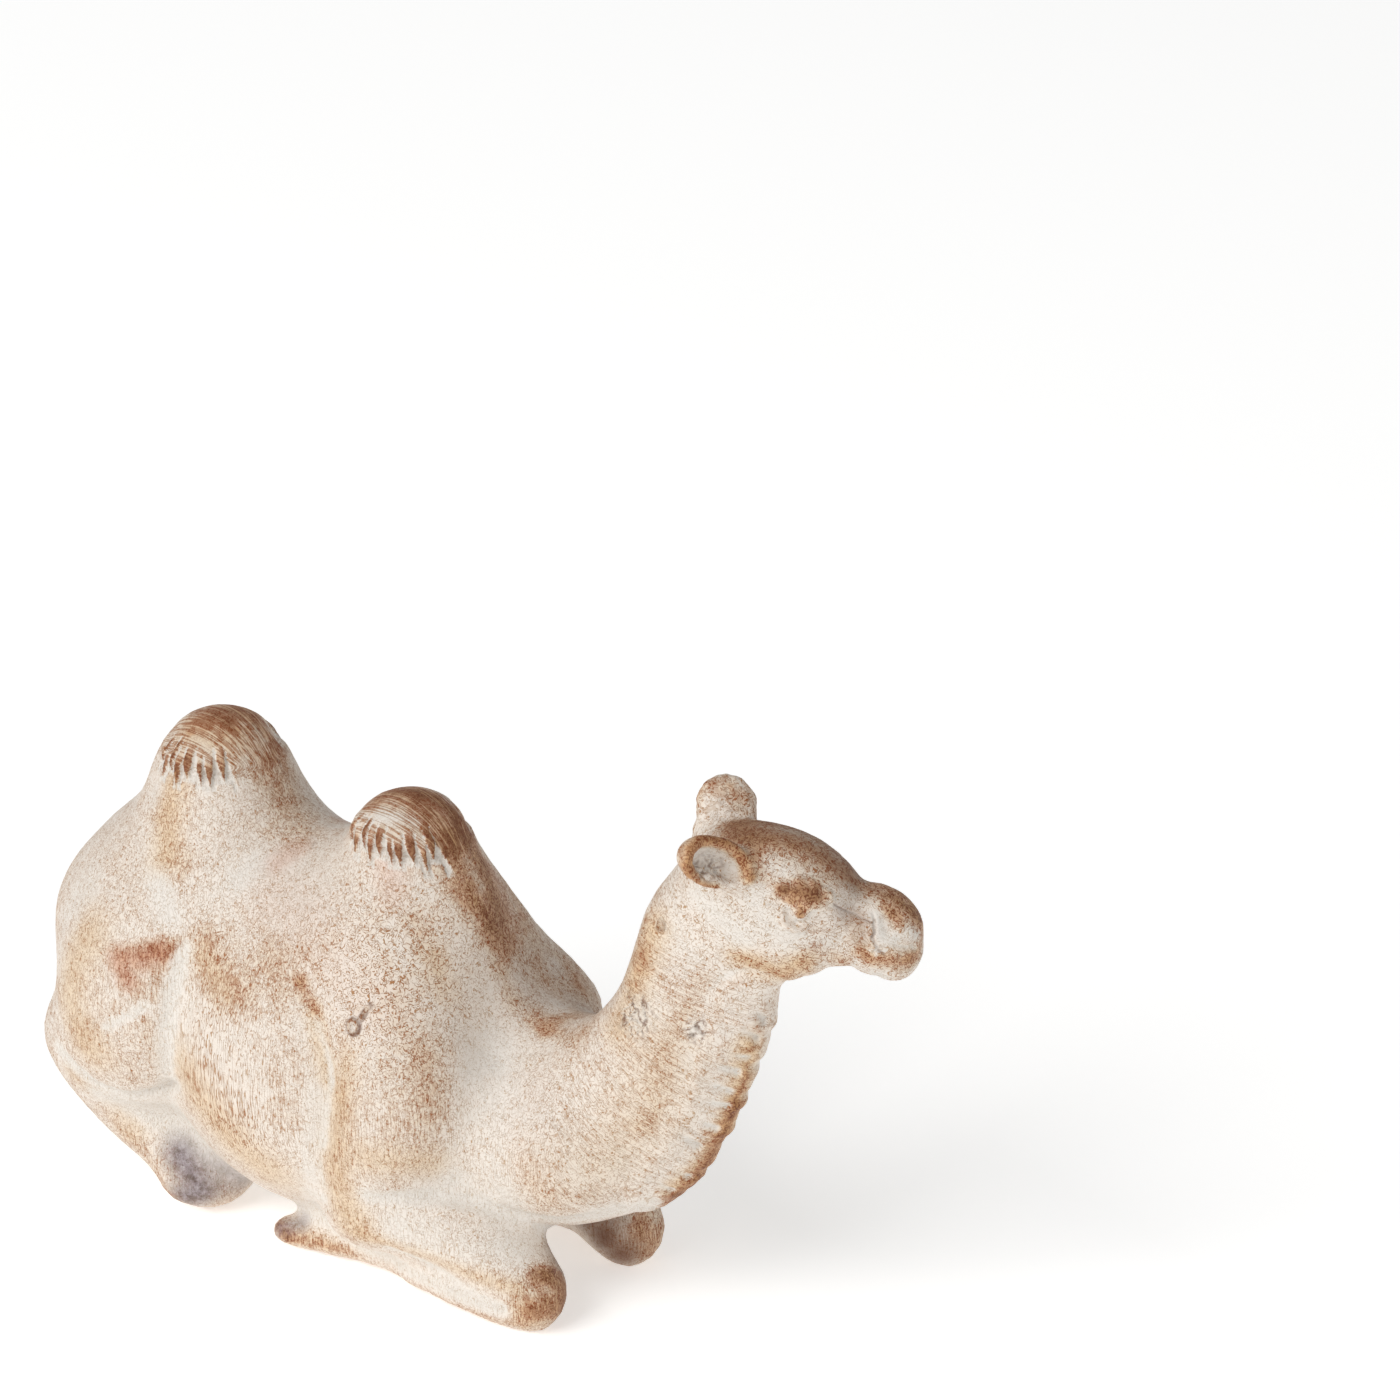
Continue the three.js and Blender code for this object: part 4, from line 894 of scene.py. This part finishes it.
def paint(body):
    """Writes the layers of paint to the mesh, one value at each point, for the finish to read."""
    mesh = body.data
    places = read(mesh)
    mirrored = right_side(places)
    head = in_head(places)
    head_mirrored = right_side(head)
    of_head, of_ears = head_and_ears(head)
    skin_head = np.maximum(of_head, of_ears)

    def laid(strokes, head_strokes):
        on_head = brushed(head_mirrored, head_strokes)
        return brushed(mirrored, strokes) * (1 - skin_head) + on_head * skin_head

    arm = brushed(places, ARM_RUST)
    rust = over(laid(RUST, HEAD_RUST), arm)
    rust = over(rust, brushed(places, LEFT_RUST_AND_SHADE))
    rust = over(rust, brushed(head, LEFT_EAR_RUST) * of_ears)
    ochre = over(laid(OCHRE, HEAD_OCHRE), 3.2 * arm)
    white = over(laid(WHITE, HEAD_WHITE), brushed(places, SCRAPED))

    # the right ear's worn orange rim
    rim = np.maximum(stroke(head, RIM, 2.1, 0), 0.8 * stroke(head, LOWER_RIM, 1.1, 0)) * of_ears
    rust = np.maximum(rust, 0.72 * rim)
    ochre = np.maximum(ochre, rim)
    white *= 1 - rim

    # caps of the humps: rust on the locks, white between them
    cap, cap_run = caps(places)
    tufts = tuft_relief(places)
    between = ease(-tufts / 0.12)
    rust = np.clip(rust + 2.4 * np.maximum(tufts, 0) + 0.25 * cap, 0, 1) * (1 - between)
    white = np.maximum(white, between)

    # what stands up is rubbed, what lies deep keeps its coat
    edge = rise(mesh, places, 6)
    hollow = rise(mesh, places, 40)
    rust += 2 * np.clip(edge, -0.05, 0.12) + 0.15 * np.clip(hollow, -0.3, 0.3)
    kept = ease((-hollow - 0.25) / 0.6) * 0.6 + ease((-edge - 0.03) / 0.1) * 0.6
    white = np.clip(white + kept * (1 - np.clip(1.5 * rust + cap, 0, 1)), 0, 1)

    neck_share = along(places, NECK)[1]
    of_neck = ease((places[:, 0] - 33) / 6) * ease((places[:, 2] - 16) / 4) * (1 - of_head)
    shoulder = near(places * [1, 0.3, 1], (11, -4, 48), 19)
    belly = stroke(mirrored, [(-16, -18, 40), (-12, -20, 28), (-8, -18, 18)], 13)
    limbs = ease((22 - places[:, 2]) / 6)
    rubbed = 0.28 + 0.02 * of_head + 0.06 * shoulder - 0.05 * limbs + 0.7 * rust - 0.45 * white
    streaks = 0.55 - 0.55 * shoulder + 0.5 * belly + 0.3 * cap - 0.1 * of_neck - 0.3 * of_head
    layers = {
        "rubbed": np.clip(rubbed, 0, 1),
        "streaks": np.clip(streaks, 0, 1),
        "ochre": ochre,
        "pink": brushed(mirrored, PINK),
        "violet": brushed(mirrored, VIOLET),
        "white": white,
        "dark": dark_marks(places, head, skin_head, of_ears),
        "cap": cap,
        "cap_run": cap_run,
        "neck": of_neck,
        "neck_run": neck_share * NECK_RUN,
        "head": of_head,
        "head_run": np.arctan2(head[:, 1], head[:, 2] - 1) * MUZZLE_RADIUS,
    }
    for name, values in layers.items():
        layer = mesh.attributes.new(name, "FLOAT", "POINT")
        layer.data.foreach_set("value", np.asarray(values, np.float32))


paint(casting)


# Finish

def add(tree, kind, links=None, output=0, stops=None, **settings):
    """Adds a node with its settings, links and colour stops, and gives one of its outputs."""
    node = tree.nodes.new(kind)
    for name, value in settings.items():
        setattr(node, name, value)
    for spot, code in (stops or {}).items():
        fresh = spot not in (0, 1)
        stop = node.color_ramp.elements.new(spot) if fresh else node.color_ramp.elements[-spot]
        stop.color = linear(code)
    for socket, value in (links or {}).items():
        if isinstance(value, bpy.types.NodeSocket):
            tree.links.new(value, node.inputs[socket])
        else:
            node.inputs[socket].default_value = value
    return node.outputs[output]


MATH = "ShaderNodeMath"
VECTOR = "ShaderNodeVectorMath"
NOISE = "ShaderNodeTexNoise"
RANGE = "ShaderNodeMapRange"
MIX = "ShaderNodeMix"
RAMP = "ShaderNodeValToRGB"


# Sizes of the finish, in millimetres. A line is drawn twice in each cell of its noise.
PATCH = 6.25
DAB = 1.43
MAZE_CELL = 0.606
GAP = 0.435
BRISTLE_CELL = 0.385
BRISTLE_RUN = 4.55
CLOT = 1.11


def worn_coat(tree, place, mark):
    """How far the coat is worn, with patches and dabs, and the dabs alone."""
    patches = add(tree, NOISE, {"Vector": place, "Scale": 1 / PATCH, "Detail": 3, "Roughness": 0.6})
    dabs = add(tree, NOISE, {"Vector": place, "Scale": 1 / DAB, "Detail": 2, "Roughness": 0.6})
    uneven = add(tree, RANGE, {"Value": patches, "From Min": 0.3, "From Max": 0.7, "To Min": -0.1,
                               "To Max": 0.1})
    worn = add(tree, MATH, {0: uneven, 1: mark["rubbed"]}, operation="ADD")
    flecks = add(tree, RANGE, {"Value": dabs, "From Min": 0.3, "From Max": 0.7, "To Min": -0.09,
                               "To Max": 0.09})
    return add(tree, MATH, {0: worn, 1: flecks}, operation="ADD", use_clamp=True), dabs


def brush_noise(tree, place, mark):
    """Noise drawn out along the brush: upright on the trunk, along the humps and muzzle, round the neck."""
    upright = (1 / BRISTLE_CELL, 1 / BRISTLE_CELL, 1 / BRISTLE_RUN)
    upright = add(tree, VECTOR, {0: place, 1: upright}, operation="MULTIPLY")
    bristles = add(tree, NOISE, {"Vector": upright, "Scale": 1, "Detail": 1.5, "Roughness": 0.5,
                                 "Distortion": 0.1})
    for zone in ("cap", "neck", "head"):
        run = add(tree, MATH, {0: mark[zone + "_run"], 1: 1 / BRISTLE_CELL}, operation="MULTIPLY")
        run = add(tree, "ShaderNodeCombineXYZ", {0: run})
        run = add(tree, VECTOR, {0: place, 1: (0.25, 0.25, 0.25), 2: run}, operation="MULTIPLY_ADD")
        zone_bristles = add(tree, NOISE, {"Vector": run, "Scale": 1, "Detail": 2, "Roughness": 0.6,
                                          "Distortion": 0.2})
        bristles = add(tree, MIX, {0: mark[zone], 2: bristles, 3: zone_bristles}, data_type="FLOAT")
    return bristles


def line_mask(tree, values, width):
    """1 on lines where a noise passes its middle value, easing to 0 at the lines' half width."""
    off_middle = add(tree, MATH, {0: values, 1: 0.5}, operation="SUBTRACT")
    off_middle = add(tree, MATH, {0: off_middle}, operation="ABSOLUTE")
    core = add(tree, MATH, {0: width, 1: 0.4}, operation="MULTIPLY")
    return add(tree, RANGE, {"Value": off_middle, "From Min": core, "From Max": width, "To Min": 1,
                             "To Max": 0})


def rust_lines(tree, place, mark, worn):
    """The maze and the brush lines of rust in the coat, wider where it is worn."""
    maze = add(tree, NOISE, {"Vector": place, "Scale": 1 / MAZE_CELL, "Detail": 0.9, "Roughness": 0.5,
                             "Distortion": 1})
    width = add(tree, MATH, {0: worn, 1: 0.086, 2: 0.017}, operation="MULTIPLY_ADD")
    gaps = add(tree, NOISE, {"Vector": place, "Scale": 1 / GAP, "Detail": 1})
    gaps = add(tree, RANGE, {"Value": gaps, "From Min": 0.36, "From Max": 0.5, "To Min": 0.45, "To Max": 1})
    maze = add(tree, MATH, {0: line_mask(tree, maze, width), 1: gaps}, operation="MULTIPLY")
    width = add(tree, MATH, {0: worn, 1: worn}, operation="MULTIPLY")
    width = add(tree, MATH, {0: width, 1: 0.16, 2: 0.016}, operation="MULTIPLY_ADD")
    strokes = line_mask(tree, brush_noise(tree, place, mark), width)
    share = add(tree, MATH, {0: mark["streaks"], 1: 0.8}, operation="MULTIPLY")
    return add(tree, MIX, {0: share, 2: maze, 3: strokes}, data_type="FLOAT")


def paint_colour(tree, place, mark, worn, lines):
    """Cream coat and rust lines, tinted by the strokes, with violet clots and dark marks over them; the
    violet and the dark colour also stand as painted shade.
    """
    coat = add(tree, RAMP, {0: worn}, stops={0: "#eae1d7", 1: "#bf946a", 0.35: "#e9ded2", 0.6: "#e1d0bb",
                                             0.8: "#d3b191"})
    under = add(tree, RAMP, {0: worn}, stops={0: "#c4a884", 1: "#713b1c", 0.25: "#b28857", 0.5: "#a1693c",
                                              0.75: "#8f4e27"})
    for name, strength, code in (("ochre", 0.6, "#f2d8a8"), ("pink", 0.7, "#e6b29c")):
        tint = {0: add(tree, MATH, {0: mark[name], 1: strength}, operation="MULTIPLY"), 7: linear(code)}
        coat = add(tree, MIX, {**tint, 6: coat}, 2, data_type="RGBA", blend_type="MULTIPLY")
        under = add(tree, MIX, {**tint, 6: under}, 2, data_type="RGBA", blend_type="MULTIPLY")
    coat = add(tree, MIX, {0: mark["white"], 6: coat, 7: linear("#e6dfd6")}, 2, data_type="RGBA")
    colour = add(tree, MIX, {0: lines, 6: coat, 7: under}, 2, data_type="RGBA")
    clots = add(tree, NOISE, {"Vector": place, "Scale": 1 / CLOT, "Detail": 5, "Roughness": 0.75})
    violet = add(tree, RAMP, {0: clots}, stops={0.4: "#5c4b4a", 0: "#4c3c39", 1: "#ddd8dc", 0.52: "#887d83"})
    amount = add(tree, MATH, {0: mark["violet"], 1: 0.9}, operation="MULTIPLY")
    colour = add(tree, MIX, {0: amount, 6: colour, 7: violet}, 2, data_type="RGBA")
    # dark lines of the cracks, and painted shade where the dark marks lay it
    return add(tree, MIX, {0: mark["dark"], 6: colour, 7: linear("#70452a")}, 2, data_type="RGBA")


def cast_resin_finish():
    """Cast resin under a matte cream coat, brushed on over rust brown and rubbed back by hand.

    The eye sees a fine maze of brown lines where the cream was dabbed, brush lines on the humps, neck
    and belly, rust where an edge is worn, and bare cream in the folds.
    """
    finish = bpy.data.materials.new("cream_coat_rubbed_over_rust_on_cast_resin")
    finish.use_nodes = True
    tree = finish.node_tree
    shader = tree.nodes["Principled BSDF"]
    place = add(tree, "ShaderNodeTexCoord", output=3)
    place = add(tree, VECTOR, {0: place, "Scale": 1 / MM}, operation="SCALE")
    names = ("rubbed", "streaks", "ochre", "pink", "violet", "white", "dark", "cap", "cap_run", "neck",
             "neck_run", "head", "head_run")
    mark = {name: add(tree, "ShaderNodeAttribute", output=2, attribute_name=name) for name in names}

    worn, dabs = worn_coat(tree, place, mark)
    lines = rust_lines(tree, place, mark, worn)
    tree.links.new(paint_colour(tree, place, mark, worn, lines), shader.inputs["Base Color"])

    # the coat is matte, and the rust under it a little duller still
    rough = add(tree, RANGE, {"Value": lines, "To Min": 0.5, "To Max": 0.62})
    tree.links.new(rough, shader.inputs["Roughness"])
    shader.inputs["Specular IOR Level"].default_value = 0.35

    # the dabs and the lines stand in the surface by less than a tenth of a millimetre
    height = add(tree, MATH, {0: dabs, 1: -0.8, 2: lines}, operation="MULTIPLY_ADD")
    bump = add(tree, "ShaderNodeBump", {"Strength": 0.8, "Distance": 0.07 * MM, "Height": height})
    tree.links.new(bump, shader.inputs["Normal"])
    return finish


casting.data.materials.append(cast_resin_finish())

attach(casting, "root")
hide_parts("camel")
